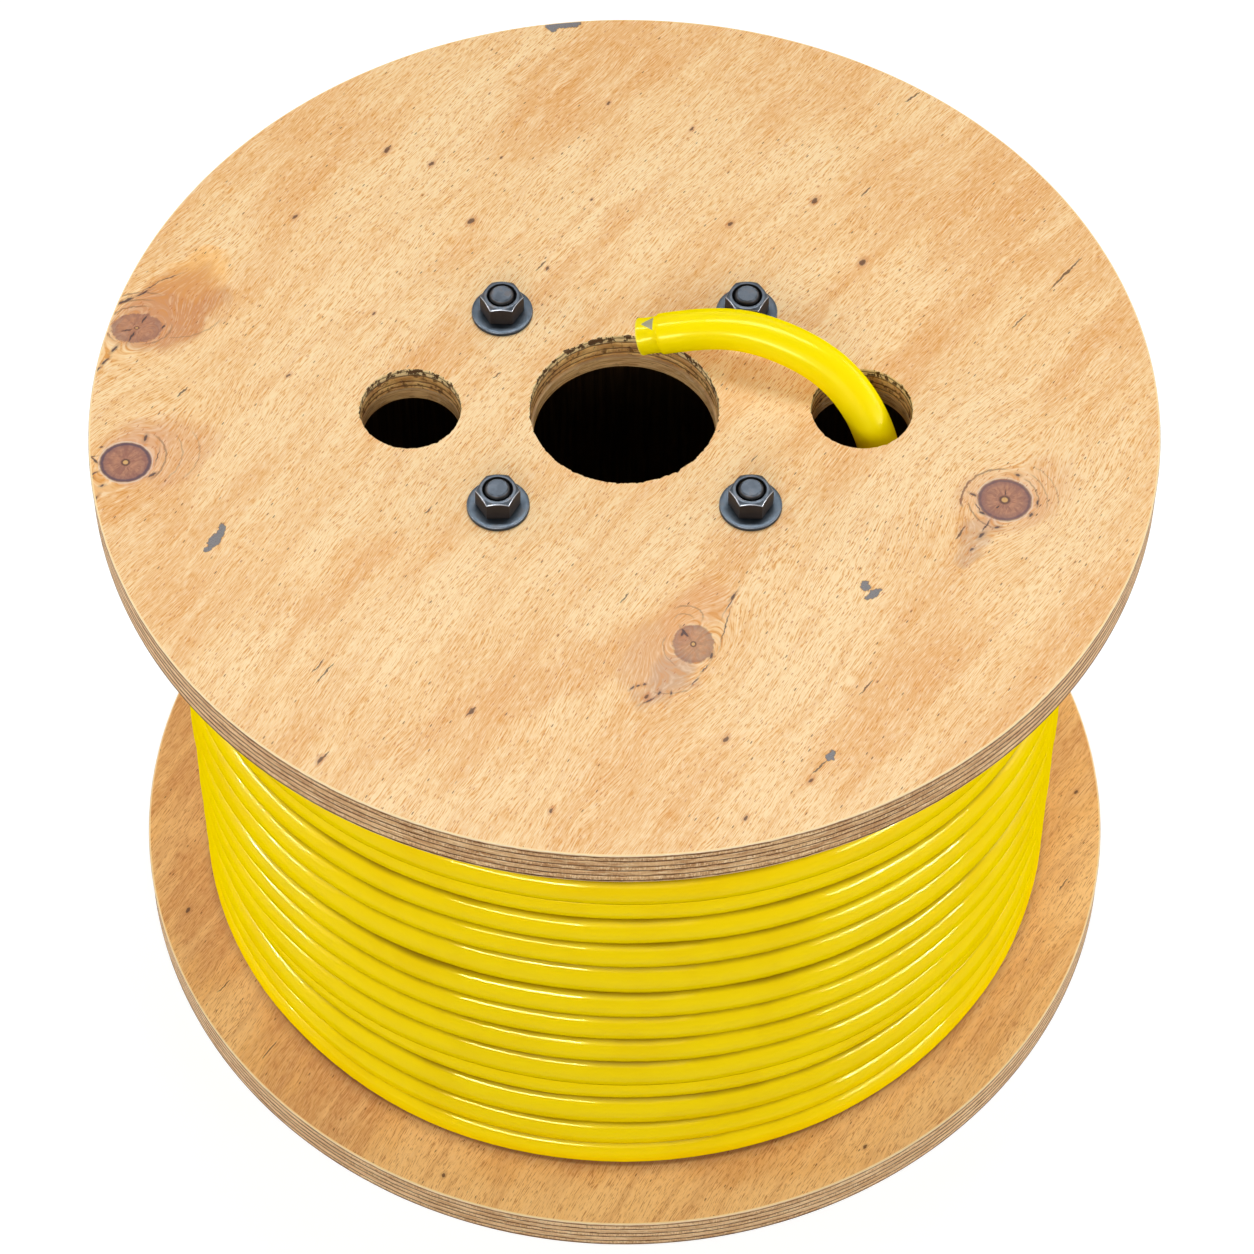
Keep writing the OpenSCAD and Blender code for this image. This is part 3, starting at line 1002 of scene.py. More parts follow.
def plywoodFace(name, look, patch=None):
    made, graph = newMaterial(name)
    x, y = graph.place()[:2]
    spot = graph.vector(x, y, 1)
    lean, seed = math.radians(look["grain"]), look["seed"]
    cosine, sine = math.cos(lean), math.sin(lean)
    length, width = x * cosine + y * sine, y * cosine - x * sine

    held = [knots[label] for label in patch[2]] if patch else []

    def near(point, margin=10):
        # leaves out what lies in the face's other parts
        if patch:
            return math.dist(point, patch[0]) < patch[1] + margin
        return all(math.dist(point, other[0]) > other[1] - margin for other in knotPatches)

    # the grain curves a little, and bends round each knot of the upper face
    flow = straight = width + length * length * look["bow"]
    if look is faceLook:
        for knot in knots.values():
            knotX, knotY = knot["at"]
            dl = length - (knotX * cosine + knotY * sine)
            dw = width - (knotY * cosine - knotX * sine)
            flow = flow - dw * look["knotBend"] / (dl * dl * 0.45 + dw * dw + 260)

    def grained(label, detail, roughness, step):
        # a noise drawn out along the grain
        long, wide = look[label]
        return graph.noise(length / long, flow / wide, None, detail, roughness, seed + step)

    flow = flow + (grained("wander", 2, 0.5, 1) - 0.5) * 8
    fine = graph.noise(x / 3.2, y / 3.2, detail=2, roughness=0.6, seed=seed + 6).other(1)
    warped = graph.warp(spot, grained("drift", 2, 0.6, 4).other(1), 26)

    # broad tones
    broad, streaks = grained("broad", 2, 0.5, 2), grained("streaks", 3, 0.6, 3)
    colour = graph.lay(look["base"], look["cream"], broad, 0.46, 0.66, 0.7)
    colour = graph.lay(colour, look["orange"], broad, 0.47, 0.34, 0.5)
    for areas, stain in (("light", "cream"), ("warm", "orange")):
        nearest = 99
        for middle, sizes, turn in look[areas]:
            nearest = graph.lower(graph.oval(warped, middle, sizes, turn), nearest)
        colour = graph.lay(colour, look[stain], nearest, 1.6, 0.2, 0.66)
    colour = graph.lay(colour, look["orange"], streaks, 0.51, 0.7, 0.4)
    colour = graph.lay(colour, look["cream"], streaks, 0.48, 0.3, 0.5)

    for knot in held:
        colour = stainRound(graph, colour, warped, knot)

    # short strokes and long hairs of fibre
    strokes = grained("strokes", 2, 0.6, 5)
    fibres = strokes * 0.64 + grained("hairs", 1, 0.5, 7) * 0.36
    colour = graph.lay(colour, look["fibre"], fibres, 0.5, 0.66, 0.85)
    colour = graph.lay(colour, look["pale"], fibres, 0.5, 0.35, 0.5)

    for knot in held:
        colour = stainRound(graph, colour, warped, knot, 0.5)

    # open pores, in loose groups
    pores = graph.cells(length / look["pores"][0], straight / look["pores"][1], seed=seed)
    chance = graph.node("ShaderNodeSeparateColor", None, {0: pores.other(1)})
    crowd = (streaks + broad - 1) * 0.9
    pore = graph.rise(pores + (strokes - 0.5) * 0.1, 0.19, 0.1) * graph.rise(chance + crowd, 0.7, 0.78)
    deep = graph.rise(chance.other(1), 0.9, 0.93)
    colour = graph.mix(pore * 0.65, colour, look["pore"])
    colour = graph.mix(pore * deep * 0.8, colour, look["deepPore"])

    # pins, cracks and filler
    nudged = graph.warp(spot, fine, 1.6)
    nearest = 99
    for middle, size in look["pins"]:
        if near(middle):
            pin = graph.oval(nudged, middle, (size * 1.1, size * 0.6), look["grain"])
            nearest = graph.lower(pin, nearest)
    colour = graph.lay(colour, look["pore"], nearest, 6, 1, 0.4)
    for middle, half, wide, turn in look["cracks"]:
        if near(middle):
            nearest = graph.lower(graph.oval(nudged, middle, (half, wide), turn), nearest)
    colour = graph.lay(colour, look["crack"], nearest, 1.3, 0.5, 0.85)
    nearest = 99
    for middle, sizes, turn in look["fills"]:
        if near(middle):
            nearest = graph.lower(graph.oval(graph.warp(spot, fine, 3.2), middle, sizes, turn), nearest)
    if not isinstance(nearest, int):
        speckle = graph.noise(x / 0.6, y / 0.6, detail=1, seed=seed + 8)
        colour = graph.lay(colour, look["fibre"], nearest, 2, 1.1, 0.5)
        colour = graph.lay(colour, look["fillerRim"], nearest, 1.35, 1.1, 0.8)
        filler = graph.mix(speckle, look["filler"], look["fillerLight"])
        colour = graph.lay(colour, filler, nearest, 1.1, 0.95, 0.95)

    for knot in held:
        colour = paintKnot(graph, colour, spot, fine, fibres, knot, knotLook)
    if look["foot"]:
        # painted shadow along the foot of the winding, where it stands on the face
        beyond = graph.vectors("LENGTH", graph.vector(x, y), output="Value") - look["foot"]
        footShadow = graph.rise(beyond, 9, 0) * 0.35 + graph.rise(beyond, 2.6, 0.8) * 0.4
        colour = graph.mix(footShadow, colour, look["footShadow"])

    roughness = look["roughness"] - fibres * 0.1
    finishMaterial(graph, colour, roughness, fibres * look["relief"], specular=0.1)
    return made


edgeLook = {
    "light": tone(255, 228, 182),
    "base": tone(228, 184, 132),
    "dark": tone(186, 136, 88),
    "veneer": tone(152, 104, 62),
    "glue": tone(74, 38, 12),
    "cream": tone(251, 218, 160),
    # pale sanded arris, made brighter still as a painted highlight
    "sandedArrisHighlight": tone(255, 242, 212),
    # paler colour for the rim where it faces the sides: painted light
    "side": tone(250, 212, 172),
    # walls of the sawn holes
    "sawn": tone(186, 132, 58),
    "sawnLight": tone(228, 182, 104),
    "sawnGlue": tone(84, 54, 26),
    "burn": tone(92, 56, 20),
    "splinter": tone(255, 226, 164),
    "notch": tone(78, 46, 16),
    "roughness": 0.74,
}

lowerEdgeLook = dict(edgeLook, base=tone(250, 208, 158), dark=tone(214, 166, 116))


def plywoodEdge(name, look, plainHeight, direction, sawn=0.0):
    # plies seen from the side: long streaks, and a fine upright hatch where the fibres point outwards
    made, graph = newMaterial(name)
    x, y, z = graph.place()
    nx, ny = graph.normal()[:2]
    sway = graph.noise(x / 50, y / 50, detail=1, seed=4) - 0.5
    ripple = graph.noise(x / 5, y / 5, z / 4, 2, 0.6, 5) - 0.5
    depth = (z - plainHeight) * direction + sway * 0.6 + ripple * 0.9
    index, glue = 0, 9
    for line in plyLines:
        index = (depth > line) + index
        glue = graph.lower(abs(depth - line), glue)
    odd = index % 2
    facing = nx * nx * (1 - odd) + ny * ny * odd
    endGrain = graph.rise(facing, 0.3, 0.75)
    streaks = graph.noise(x / 9, y / 9, z / 0.55, 3, 0.6, 2)
    patches = graph.noise(x / 20, y / 20, index * 4.3 + z / 3, 2, 0.6, 3)
    hatch = graph.noise(x / 0.8, y / 0.8, z / 2.6, 2, 0.6, 6)
    colour = graph.lay(look["dark"], look["base"], patches, 0.36, 0.64)
    colour = graph.lay(colour, look["light"], streaks, 0.53, 0.66, 0.95)
    colour = graph.lay(colour, look["dark"], streaks, 0.46, 0.32, 0.75)
    colour = graph.lay(colour, look["light"], hatch, 0.52, 0.66, 0.2 + endGrain * 0.4)
    colour = graph.lay(colour, look["veneer"], hatch, 0.46, 0.32, 0.15 + endGrain * 0.35)
    # painted light: the rim paler where it faces left and right
    side = graph.rise(nx * nx, 0.15, 0.8)
    colour = graph.mix(side * 0.4, colour, look["side"])
    outer = graph.higher(index < 0.5, index > len(plyLines) - 0.5)
    colour = graph.mix(outer * 0.2, colour, look["veneer"])
    strength = 0.75 + graph.rise(patches + ripple, 0.7, 0.3) * 0.25
    line = graph.rise(glue, side * 0.35 + 0.58, 0.24) * strength
    colour = graph.mix(line, colour, look["glue"])
    roughness = look["roughness"] - hatch * 0.1
    height = hatch * 0.08 + streaks * 0.1 - line * 0.1
    if sawn:
        # torn light splinters and dark notches in the first ply of a hole, a rough brown wall below
        torn = graph.noise(x / 3, y / 3, z / 4, 3, 0.6, 8)
        burnt = graph.noise(x / 8, y / 8, z / 4, 2, 0.6, 9)
        near = graph.rise(depth + torn * 3.4, 6.4, 5.2)
        brown = graph.lay(look["sawn"], look["sawnLight"], burnt, 0.4, 0.64)
        colour = graph.mix((1 - near) * sawn, colour, brown)
        colour = graph.lay(colour, look["burn"], torn, 0.54, 0.64, (1 - near) * 0.8)
        colour = graph.mix(near * 0.9, colour, look["splinter"])
        colour = graph.lay(colour, look["notch"], torn, 0.5, 0.55, near * 0.95)
        colour = graph.mix(line * 0.8, colour, look["sawnGlue"])
        height = height + torn * 0.35
    else:
        # pale sanded arris along both corners, brightened as a painted highlight
        raw = (z - plainHeight) * direction
        corner = graph.lower(raw, flangeThickness - raw) + ripple * 0.5
        colour = graph.lay(colour, look["sandedArrisHighlight"], corner, 0.68, 0.48, 0.9)
        colour = graph.lay(colour, look["cream"], corner, 0.4, 0.2, 0.9)
    finishMaterial(graph, colour, roughness, height, specular=0.1)
    return made


topHigh, lowLow = span("flange_top")[1], span("flange_bottom")[0]
upperFaces = [plywoodFace("upperFlangeFace", faceLook)]
for number, patch in enumerate(knotPatches):
    upperFaces.append(plywoodFace(f"upperFlangeKnots{number + 1}", faceLook, patch))
plainFace = plywoodFace("lowerFlangeFace", lowerLook)
upperEdge = plywoodEdge("upperFlangeEdge", edgeLook, topHigh, -1)
upperHoles = plywoodEdge("upperFlangeHoles", edgeLook, topHigh, -1, 0.75)
lowerEdge = plywoodEdge("lowerFlangeEdge", lowerEdgeLook, lowLow, 1)
lowerHoles = plywoodEdge("lowerFlangeHoles", edgeLook, lowLow, 1, 0.75)

flangeSettings = {
    "radius": 250,
    "bevel": 1,
    "rimSteps": 720,
    "recessRadius": 150.25,
    "recessDepth": 7,
    "bolt": 58,  # half the bolt spacing
    "boltHole": 6.75,
    "counterbore": 16.5,
    "counterboreDepth": 11,
    "lipBevel": 0.3,
    "glueGroove": (0.22, 0.16),  # half width and depth
    "chips": [(3.3, 0.12, 1.5), (1.1, 0.1, 0.8)],  # size, how rare, strength
    "chippedLip": [(0, 1), (0.35, 0.7), (0.9, 0.35), (1.4, 0.15)],  # depth, share of the chips there
    "rimRelief": 0.09,  # how far the sawn rim strays
    # middle, radius, steps round, depth of chips in the lip
    "holes": [((0, 0), 44, 540, 1.1), ((-100, 0), 23.5, 288, 0.8), ((111, 0), 23.5, 288, 0.8)],
}


def chipped(centre, radius, depth, seed):
    # how far the lip of a sawn hole is broken back, by angle
    def offset(angle):
        x, y = centre[0] + radius * math.cos(angle), centre[1] + radius * math.sin(angle)
        spot = Vector((x, y, seed * 9.7))
        bite = 0
        for size, least, share in flangeSettings["chips"]:
            bite += max(0, noise.noise(spot / size) - least) * share
        return depth * (bite - 0.1)
    return offset


def takePatch(shell, rim, middle, reach, height):
    # cuts a round patch out of a face: its own loop, and the face's outline without it
    inside = [i for i in rim if math.dist(shell.points[i][:2], middle) < reach]
    if not inside:
        return shell.ring(circle(reach, 90, height, middle)), rim
    first, last = inside[0], inside[-1]
    start, end = [
        math.atan2(shell.points[i].y - middle[1], shell.points[i].x - middle[0]) for i in (last, first)
    ]
    end += 2 * math.pi if end < start else 0
    arc = shell.ring(
        (middle[0] + reach * math.cos(a), middle[1] + reach * math.sin(a), height)
        for a in (start + (end - start) * k / 60 for k in range(1, 60))
    )
    rest = rim[:rim.index(first) + 1] + arc[::-1] + rim[rim.index(last):]
    return inside + arc, rest


def makeFlange(name, plain, direction, settings, looks, counterbored, patches=()):
    # direction points from the plain face into the wood; looks: plain face, rim, holes, inner face, patches
    shell = Shell()
    thick, bevel, radius = flangeThickness, settings["bevel"], settings["radius"]

    def level(depth):
        return plain + direction * depth

    # outer rim, with a fine groove at each glue line
    rounded = [(0, bevel), (bevel * 0.3, bevel * 0.28), (bevel, 0)]  # depth, distance in from the rim
    halfWidth, groove = settings["glueGroove"]
    steps = [(depth, radius - inwards) for depth, inwards in rounded]
    for line in plyLines:
        steps += [(line - halfWidth, radius), (line, radius - groove), (line + halfWidth, radius)]
    steps = steps[:-1] if steps[-1][0] > thick - bevel else steps
    steps += [(thick - depth, radius - inwards) for depth, inwards in rounded[::-1]]
    rings = []
    for depth, reach in steps:
        def relief(angle, depth=depth):
            spot = Vector((math.cos(angle) * 60, math.sin(angle) * 60, depth / 2.6))
            return -settings["rimRelief"] * (noise.noise(spot) + 1) if 1 < depth < thick - 1 else 0
        rings.append(shell.ring(circle(reach, settings["rimSteps"], level(depth), offset=relief)))
    shell.stack(rings, 1)

    # recess that seats the barrel and the locating disc
    recess, lip, recessSteps = settings["recessRadius"], settings["lipBevel"], 360
    floorDepth = thick - settings["recessDepth"]
    mouth = shell.ring(circle(recess + lip, recessSteps, level(thick)))
    below = shell.ring(circle(recess, recessSteps, level(thick - lip)))
    seat = shell.ring(circle(recess, recessSteps, level(floorDepth)))
    shell.cover([rings[-1], mouth], 3)
    shell.stack([mouth, below, seat], 2)

    outline = rings[0]
    patchLoops = []
    for number, patch in enumerate(patches):
        loop, rest = takePatch(shell, outline, patch[0], patch[1], level(0))
        shell.cover([loop], 4 + number)
        if rest is outline:
            patchLoops.append(loop)
        outline = rest
    outsideLoops, seatLoops = [outline] + patchLoops, [seat]
    for number, (centre, hole, count, depth) in enumerate(settings["holes"]):
        chips = chipped(centre, hole, depth, number)
        walls = []
        for reach, share in settings["chippedLip"]:
            walls.append((reach, lambda a, s=share: 0.35 * s + max(-0.3, chips(a)) * s))
        for line in plyLines[1:]:
            if line > floorDepth - 1:
                break
            own = chipped(centre, hole, 0.5, line)
            for reach, back in [(-0.3, 0.05), (0.1, 0.3), (0.5, 0)]:  # round the glue line
                walls.append((line + reach, lambda a, f=own, b=back: f(a) * 0.3 + b))
        walls += [(floorDepth - 0.5, None), (floorDepth, lambda a: 0.45)]
        loops = [shell.ring(circle(hole, count, level(reach), centre, offset)) for reach, offset in walls]
        shell.stack(loops, 2)
        outsideLoops.append(loops[0])
        seatLoops.append(loops[-1])
    hole, counterbore = settings["boltHole"], settings["counterbore"]
    holeDepth = settings["counterboreDepth"] if counterbored else 0
    for sx, sy in [(1, 1), (-1, 1), (-1, -1), (1, -1)]:
        centre = (sx * settings["bolt"], sy * settings["bolt"])
        small = [shell.ring(circle(hole, 48, level(depth), centre)) for depth in (floorDepth, holeDepth)]
        if counterbored:
            wide = [
                shell.ring(circle(reach, 96, level(depth), centre))
                for reach, depth in [(counterbore, holeDepth), (counterbore, lip), (counterbore + lip, 0)]
            ]
            shell.cover([wide[0], small[-1]], 2)
            shell.stack(wide, 2)
            outsideLoops.append(wide[-1])
        else:
            outsideLoops.append(small[-1])
        shell.stack(small, 2)
        seatLoops.append(small[0])
    shell.cover(outsideLoops, 0)
    shell.cover(seatLoops, 3)
    return shell.piece(name, looks, 40)


upperFlange = makeFlange(
    "upperFlange", topHigh, -1, flangeSettings,
    [upperFaces[0], upperEdge, upperHoles, plainFace] + upperFaces[1:], False, knotPatches,
)
lowerFlange = makeFlange(
    "lowerFlange", lowLow, 1, flangeSettings, [plainFace, lowerEdge, lowerHoles, plainFace], True
)
for flange, node in ((upperFlange, "flange_top"), (lowerFlange, "flange_bottom")):
    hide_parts(node)
    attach(flange, "root")
print("flanges made")


# sanded grey-brown, with a paler sawn lip
discLook = {
    "dark": tone(172, 128, 76),
    "light": tone(216, 176, 118),
    "pale": tone(228, 202, 160),
    "stain": tone(112, 80, 50),
    "lip": tone(196, 166, 124),
}


def makeDiscWood(look):
    made, graph = newMaterial("discPlywood")
    x, y, z = graph.place()
    streaks = graph.noise(x / 9, y / 9, z / 0.6, 3, 0.6, 2)
    patches = graph.noise(x / 6, y / 6, z / 3, 3, 0.6, 3)
    colour = graph.lay(look["dark"], look["light"], streaks, 0.36, 0.62)
    colour = graph.lay(colour, look["pale"], patches, 0.58, 0.7, 0.5)
    colour = graph.lay(colour, look["stain"], patches, 0.4, 0.3, 0.5)
    below = abs(z - span("locating_disc_top")[1])
    colour = graph.lay(colour, look["lip"], below, 0.9, 0.3, 0.6)
    finishMaterial(graph, colour, 0.76 - streaks * 0.1, streaks * 0.1 + patches * 0.1, specular=0.12)
    return made


# the inside of the barrel, its wood darkened as painted shade for the deep bore
barrelLook = {"dark": tone(74, 54, 32), "light": tone(100, 74, 44), "stain": tone(56, 42, 24)}


def makeBarrelWood(look):
    made, graph = newMaterial("barrelPlywood")
    x, y, z = graph.place()
    lines = graph.noise(x / 3, y / 3, z / 60, 3, 0.6, 2)
    broad = graph.noise(x / 50, y / 50, z / 90, 2, 0.5, 3)
    colour = graph.lay(look["dark"], look["light"], lines, 0.38, 0.66)
    colour = graph.lay(colour, look["stain"], broad, 0.4, 0.7, 0.5)
    finishMaterial(graph, colour, 0.9 - lines * 0.08, lines * 0.12, specular=0.05)
    return made


# the locating discs and the barrel keep their own shapes
discWood, barrelWood = makeDiscWood(discLook), makeBarrelWood(barrelLook)
for node, material in (
    ("locating_disc_top", discWood), ("locating_disc_bottom", discWood), ("barrel", barrelWood),
):
    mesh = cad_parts[node].data
    for i in range(max(1, len(mesh.materials))):
        if len(mesh.materials) <= i:
            mesh.materials.append(material)
        else:
            mesh.materials[i] = material
print("discs and barrel finished")


# bolts, nuts and washers
hardware = {
    "boltRadius": 6,
    "threadPitch": 1.75,
    "threadDepth": 0.75,
    "threadLength": 24,
    "threadSharpness": 3.2,
    "acrossFlats": 18,
    "washerRadius": 14.5,
    "washerBore": 6.75,
    # distance in from the outer radius, and below the top
    "washerEdge": [(0, 0.6), (0.2, 0.25), (0.7, 0.04), (1.5, 0)],
    "countersink": 7,
    "countersinkDepth": 1.6,
    "crownWidth": 1.3,  # flat ring round the countersink
    "crownSlope": 0.7,
    "hexEdge": [(0.42, 0), (0.18, 0.1), (0.02, 0.34)],  # below the slope, and in from the flats
    "crownEdge": [(0.2, 0.12), (0, 0.03), (-0.3, 0)],  # out from the crown, and below the top
    "headHeight": 7.5,
    "headCrown": 8.7,
    "headSlope": 0.62,
    # in from the bolt's radius, and below its end
    "boltEnd": [(0.3, 1.15), (1.3, 0.12), (1.45, 0)],
    "spread": 116 * mm,
    "turnSpread": 0.03,  # radians by which the nuts differ
    "seed": 4,
}


nutLook = {
    "dark": tone(44, 49, 55),
    "light": tone(60, 66, 73),
    "stain": tone(54, 45, 38),
    # paler grey for worn edges and painted highlights, dark brown for the painted reflection of the wood,
    # black for painted shade in the gap round the bolt
    "wornHighlight": tone(134, 136, 142),
    "woodReflection": tone(38, 30, 25),
    "thread": tone(8, 8, 9),
}
washerLook = dict(nutLook, dark=tone(42, 49, 56), light=tone(56, 64, 72), stain=tone(48, 45, 43))


def makeSteel(name, look):
    made, graph = newMaterial(name)
    x, y, z = graph.place()
    wear = graph.node("ShaderNodeAttribute", {"attribute_name": "wear"}, output=2)
    cloudy = graph.noise(x / 5, y / 5, z / 5, 3, 0.6)
    grain = graph.noise(x / 0.5, y / 0.5, z / 0.5, 3, 0.6)
    colour = graph.lay(look["dark"], look["light"], cloudy, 0.35, 0.7)
    colour = graph.lay(colour, look["stain"], cloudy + grain * 0.4, 0.72, 0.86, 0.5)
    # paler where edges are worn, and as a painted highlight along them
    wornHighlight = graph.rise(wear + (grain - 0.5) * 0.5, 0.45, 0.9)
    colour = graph.mix(wornHighlight * 0.8, colour, look["wornHighlight"])
    # painted reflection of the wood, dark brown on the sides, and painted shade, black in the thread and
    # the gap round the bolt
    woodReflection = graph.rise(wear + (grain - 0.5) * 0.2, -0.1, -0.45)
    colour = graph.mix(woodReflection * 0.85, colour, look["woodReflection"])
    colour = graph.lay(colour, look["thread"], wear, -0.55, -0.85)
    roughness = 0.34 + cloudy * 0.14 + grain * 0.08 - wornHighlight * 0.1 + woodReflection * 0.1
    finishMaterial(graph, colour, roughness, grain * 0.05 + cloudy * 0.05, metallic=0.9)
    return made


def hexRadius(angle, flats):
    return flats / 2 / math.cos((angle % (math.pi / 3)) - math.pi / 6)


def hexRing(shell, z, flats, count, shrink=0):
    # z is a height, or a function that gives it for a radius
    points = []
    for i in range(count):
        angle = 2 * math.pi * i / count
        radius = hexRadius(angle, flats) - shrink
        points.append((radius * math.cos(angle), radius * math.sin(angle), z(radius) if callable(z) else z))
    return shell.ring(points)


def makeNut(settings):
    low, high = span("nut_1")
    flats, count = settings["acrossFlats"], 96
    sink, crown = settings["countersink"], settings["countersink"] + settings["crownWidth"]
    shell = Shell()

    def cone(drop):
        return lambda radius: high - max(0, radius - crown) * settings["crownSlope"] - drop

    def ring(radius, drop):
        return shell.ring(circle(radius, count, high - drop))

    bore = settings["boltRadius"] + 0.04
    under = shell.ring(circle(bore, count, low))
    rings = [under, hexRing(shell, low, flats, count, shrink=0.5), hexRing(shell, low + 0.35, flats, count)]
    for drop, shrink in settings["hexEdge"]:
        rings.append(hexRing(shell, cone(drop), flats, count, shrink=shrink))
    rings += [ring(crown + out, drop) for out, drop in settings["crownEdge"]]
    rings += [ring(sink + 0.2, 0), ring(sink, 0.15), ring(bore, settings["countersinkDepth"]), under]
    shell.stack(rings)
    # marks: painted reflection of the wood on the sides, painted highlights on the top edges and round the
    # countersink, painted shade in the countersink, bore and underside
    shell.mark(rings[1] + rings[2] + rings[3], -0.5)
    shell.mark(rings[4], 1)
    shell.mark(rings[5], 0.6)
    shell.mark(rings[9], 0.3)
    shell.mark(rings[10] + rings[11] + rings[0], -1)
    return shell


def makeWasher(shell, low, high, settings):
    outer, inner, bevel = settings["washerRadius"], settings["washerBore"], 0.2
    profile = [(inner + bevel, low), (outer - 0.3, low), (outer, low + 0.35)]
    profile += [(outer - inwards, high - drop) for inwards, drop in settings["washerEdge"]]
    profile += [(inner + bevel, high), (inner, high - bevel), (inner, low + bevel)]
    rings = [shell.ring(circle(radius, 120, z)) for radius, z in profile]
    shell.stack(rings + rings[:1])
    # painted highlight along the upper rim
    shell.mark(rings[4], 0.7)
    shell.mark(rings[5], 0.35)


def makeBolt(settings):
    low, high = span("tie_bolt_1")
    radius, pitch = settings["boltRadius"], settings["threadPitch"]
    flats, count, centreHole = settings["acrossFlats"], 48, 0.5
    crown, headTop = settings["headCrown"], low + settings["headHeight"]
    start = high - settings["threadLength"]
    shell = Shell()

    def ring(size, z):
        return shell.ring(circle(size, count, z))

    rings = [
        ring(centreHole, low), ring(crown - 1.3, low), ring(crown, low + 0.05),
        hexRing(shell, lambda r: low + max(0, r - crown) * settings["headSlope"] + 0.3, flats, count),
        hexRing(shell, headTop - 0.1, flats, count),
        hexRing(shell, headTop, flats, count, shrink=0.2),
        ring(radius + 0.3, headTop), ring(radius, headTop + 0.5), ring(radius, start),
    ]
    plain = len(rings)
    steps = int(settings["threadLength"] / pitch * 10)
    for step in range(1, steps):
        z = start + (high - 1.3 - start) * step / steps
        fade = min(1, step / 12)  # the thread runs out softly

        def cut(angle, z=z, fade=fade):
            phase = (z / pitch - angle / (2 * math.pi)) % 1
            flank = min(1, abs(phase - 0.5) * settings["threadSharpness"])
            return -settings["threadDepth"] * fade * (1 - flank)
        rings.append(shell.ring(circle(radius - 0.03, count, z, offset=cut)))
    rings += [ring(radius - inwards, high - drop) for inwards, drop in settings["boltEnd"]]
    rings.append(ring(centreHole, high))
    shell.stack(rings)
    shell.cap(rings[0])
    shell.cap(rings[-1])
    # painted shade, black, on the thread, and a painted highlight on the rim of the end
    for dark in rings[plain:-3]:
        shell.mark(dark, -1)
    shell.mark(rings[-3], 0.4)
    return shell


def cornerTree():
    # sets one part out at the four corners of a square round the axis
    tree, graph, entries = newTree("fourCorners", {
        "Part": "Geometry", "Spacing": "Float", "Turn Spread": "Float", "Seed": "Int", "Steel": "Material",
    })
    part, spacing, spread, seed, material = entries
    corners = graph.node("GeometryNodeMeshCircle", None, {"Vertices": 4, "Radius": spacing / math.sqrt(2)})
    square = {"Geometry": corners, "Rotation": (0, 0, math.pi / 4)}
    turned = graph.node("GeometryNodeTransform", None, square)
    twist = graph.node(
        "FunctionNodeRandomValue", {"data_type": "FLOAT"}, {2: -spread, 3: spread, "Seed": seed}, 1
    )
    placed = graph.node("GeometryNodeInstanceOnPoints", None, {
        "Points": turned, "Instance": part, "Rotation": graph.vector(0, 0, twist),
    })
    endTree(graph, placed, material)
    return tree


nutSteel, washerSteel = makeSteel("nutSteel", nutLook), makeSteel("washerSteel", washerLook)
corners = cornerTree()
washerShell = Shell()
for node in ("washer_top_1", "washer_bottom_1"):
    makeWasher(washerShell, *span(node), hardware)
for name, shell, steel, kinds, sharpAngle in (
    ("nuts", makeNut(hardware), nutSteel, ("nut",), 35),
    ("tieBolts", makeBolt(hardware), nutSteel, ("tie_bolt",), 30),
    ("washers", washerShell, washerSteel, ("washer_top", "washer_bottom"), 50),
):
    piece = shell.piece(name, [steel])
    runTree(piece, corners, {
        "Spacing": hardware["spread"], "Turn Spread": hardware["turnSpread"],
        "Seed": hardware["seed"], "Steel": steel,
    })
    tidyMesh(piece.data, sharpAngle)
    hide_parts(*[f"{kind}_{i}" for kind in kinds for i in range(1, 5)])
    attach(piece, "root")
print("bolts, nuts and washers made")


# floor, world and lights
stageSettings = {
    "floorSize": 12,
    "floorDrop": 0.3,  # millimetres below the reel, so that the faces stay apart
    "floorGlow": 0.76,
    "floorColour": (0.38, 0.38, 0.38, 1),
    "fill": 0.26,
}


def seenDirectly(graph):
    # camera, mirror and glass rays all see the plain white surroundings
    path = graph.node("ShaderNodeLightPath")
    names = {socket.name: path.other(i) for i, socket in enumerate(path.socket.node.outputs)}
    return graph.higher(names["Is Camera Ray"], names["Is Glossy Ray"], names["Is Transmission Ray"])


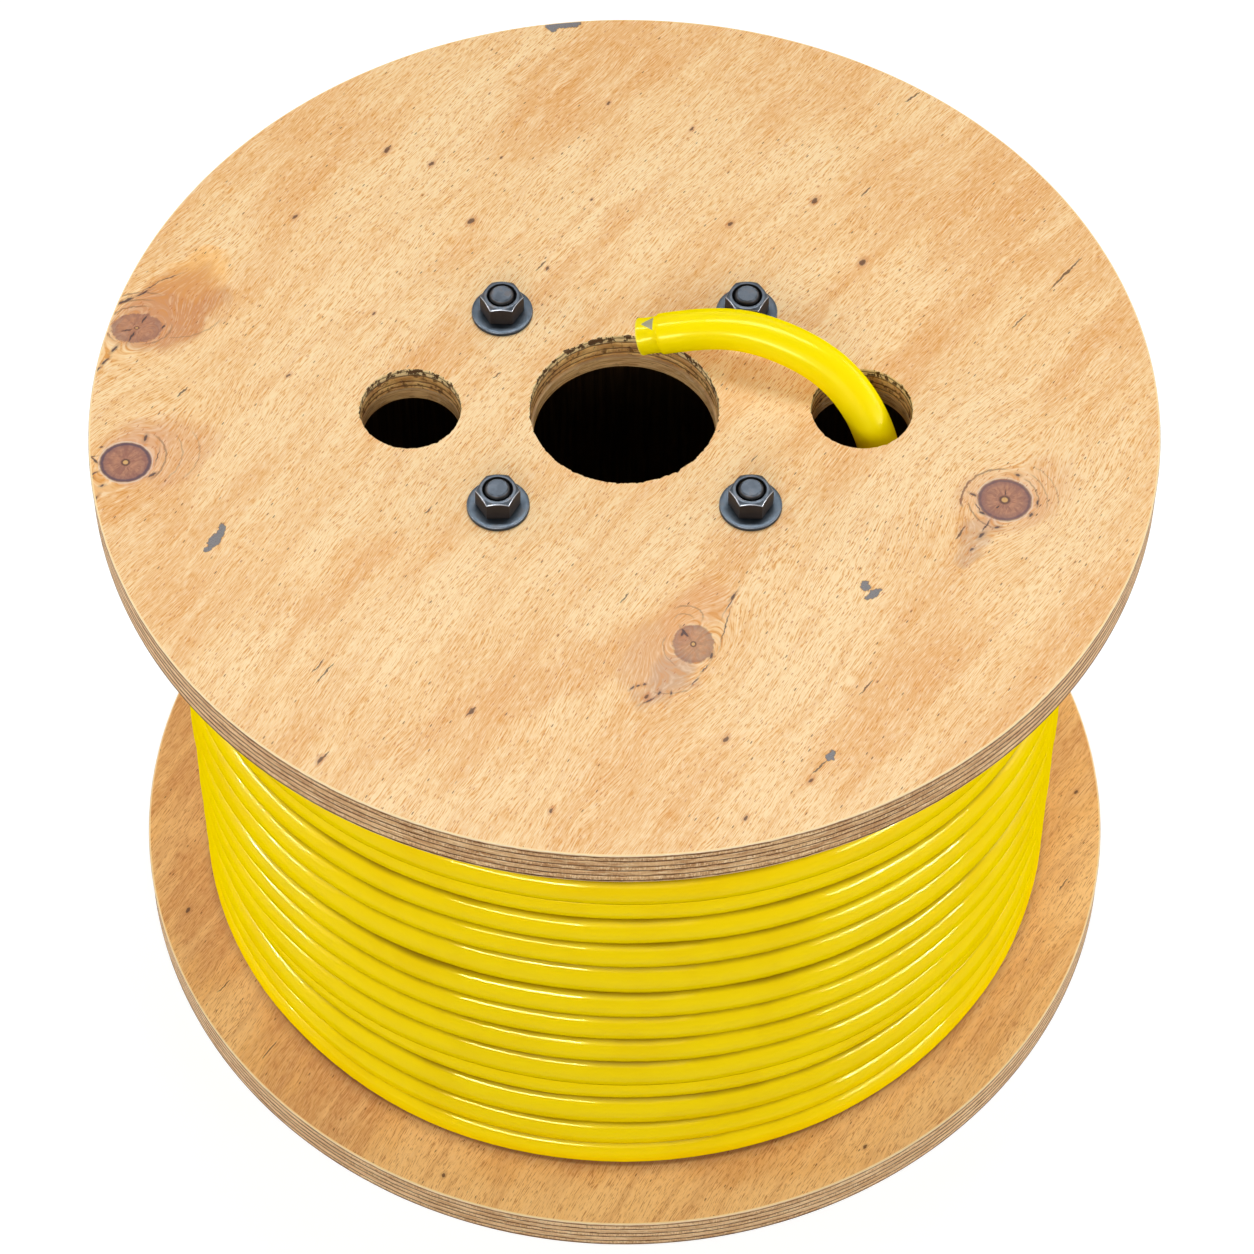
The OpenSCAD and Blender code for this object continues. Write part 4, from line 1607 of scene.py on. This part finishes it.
def makeStage(settings):
    white = (1, 1, 1, 1)
    made, graph = newMaterial("whiteFloor")
    plainMatt = graph.node("ShaderNodeBsdfDiffuse", None, {"Color": settings["floorColour"]})
    glow = graph.node("ShaderNodeEmission", None, {"Color": white, "Strength": settings["floorGlow"]})
    bright = graph.node("ShaderNodeAddShader", None, {0: plainMatt, 1: glow})
    both = graph.node("ShaderNodeMixShader", None, {0: seenDirectly(graph), 1: plainMatt, 2: bright})
    graph.node("ShaderNodeOutputMaterial", None, {"Surface": both})
    shell = Shell()
    half = settings["floorSize"] / 2 / mm
    shell.cap(shell.ring([(-half, -half, 0), (half, -half, 0), (half, half, 0), (-half, half, 0)]))
    for i, point in enumerate(shell.points):
        shell.points[i] = point - Vector((0, 0, settings["floorDrop"]))
    shell.piece("floor", [made])
    world = bpy.data.worlds.new("surroundings")
    bpy.context.scene.world = world
    world.use_nodes = True
    graph = Graph(world.node_tree)
    plain = graph.node("ShaderNodeBackground", None, {"Color": white, "Strength": 1})
    fill = graph.node("ShaderNodeBackground", None, {"Color": white, "Strength": settings["fill"]})
    both = graph.node("ShaderNodeMixShader", None, {0: seenDirectly(graph), 1: fill, 2: plain})
    graph.node("ShaderNodeOutputWorld", None, {"Surface": both})


# azimuth (0 in front, positive to the right), elevation, distance, width, height in metres, and radiance
# the strips show only in the gloss
softboxes = {
    "overhead": (170, 74, 2.4, 1.1, 0.8, 7.1),
    "frontKey": (-6, 34, 2.6, 2.0, 1.2, 3.6),
    "rightKey": (60, 14, 2.8, 1.2, 1.2, 3.3),
    "leftKey": (-80, 12, 2.8, 1.2, 1.2, 3.2),
    "rightSide": (112, 8, 2.8, 2.2, 1.2, 3.6),
    "leftSide": (-112, 8, 2.8, 2.2, 1.2, 2.9),
    "backSoft": (178, 28, 2.8, 2.0, 1.0, 1.1),
    "overheadStrip": (180, 75, 2.2, 2.8, 0.12, 110),
    "frontStrip": (-23, 26, 2.3, 1.1, 0.06, 330),
    "rightStrip": (64, 14, 2.3, 1.4, 0.06, 250),
    "leftStrip": (-84, 10, 2.3, 0.8, 0.045, 270),
}


def hangLights(settings):
    middle = Vector((0, 0, 0.18))
    for name, (azimuth, elevation, distance, width, tall, radiance) in settings.items():
        a, e = math.radians(azimuth), math.radians(elevation)
        back = Vector((math.sin(a) * math.cos(e), -math.cos(a) * math.cos(e), math.sin(e)))
        data = bpy.data.lights.new(name, "AREA")
        data.shape, data.size, data.size_y = "RECTANGLE", width, tall
        data.energy = radiance * math.pi * width * tall
        light = bpy.data.objects.new(name, data)
        light.location = middle + back * distance
        light.rotation_euler = back.to_track_quat("Z", "Y").to_euler()
        light.visible_camera = False
        light.visible_diffuse = "Strip" not in name
        bpy.context.collection.objects.link(light)


makeStage(stageSettings)
hangLights(softboxes)
print("stage and lights ready")
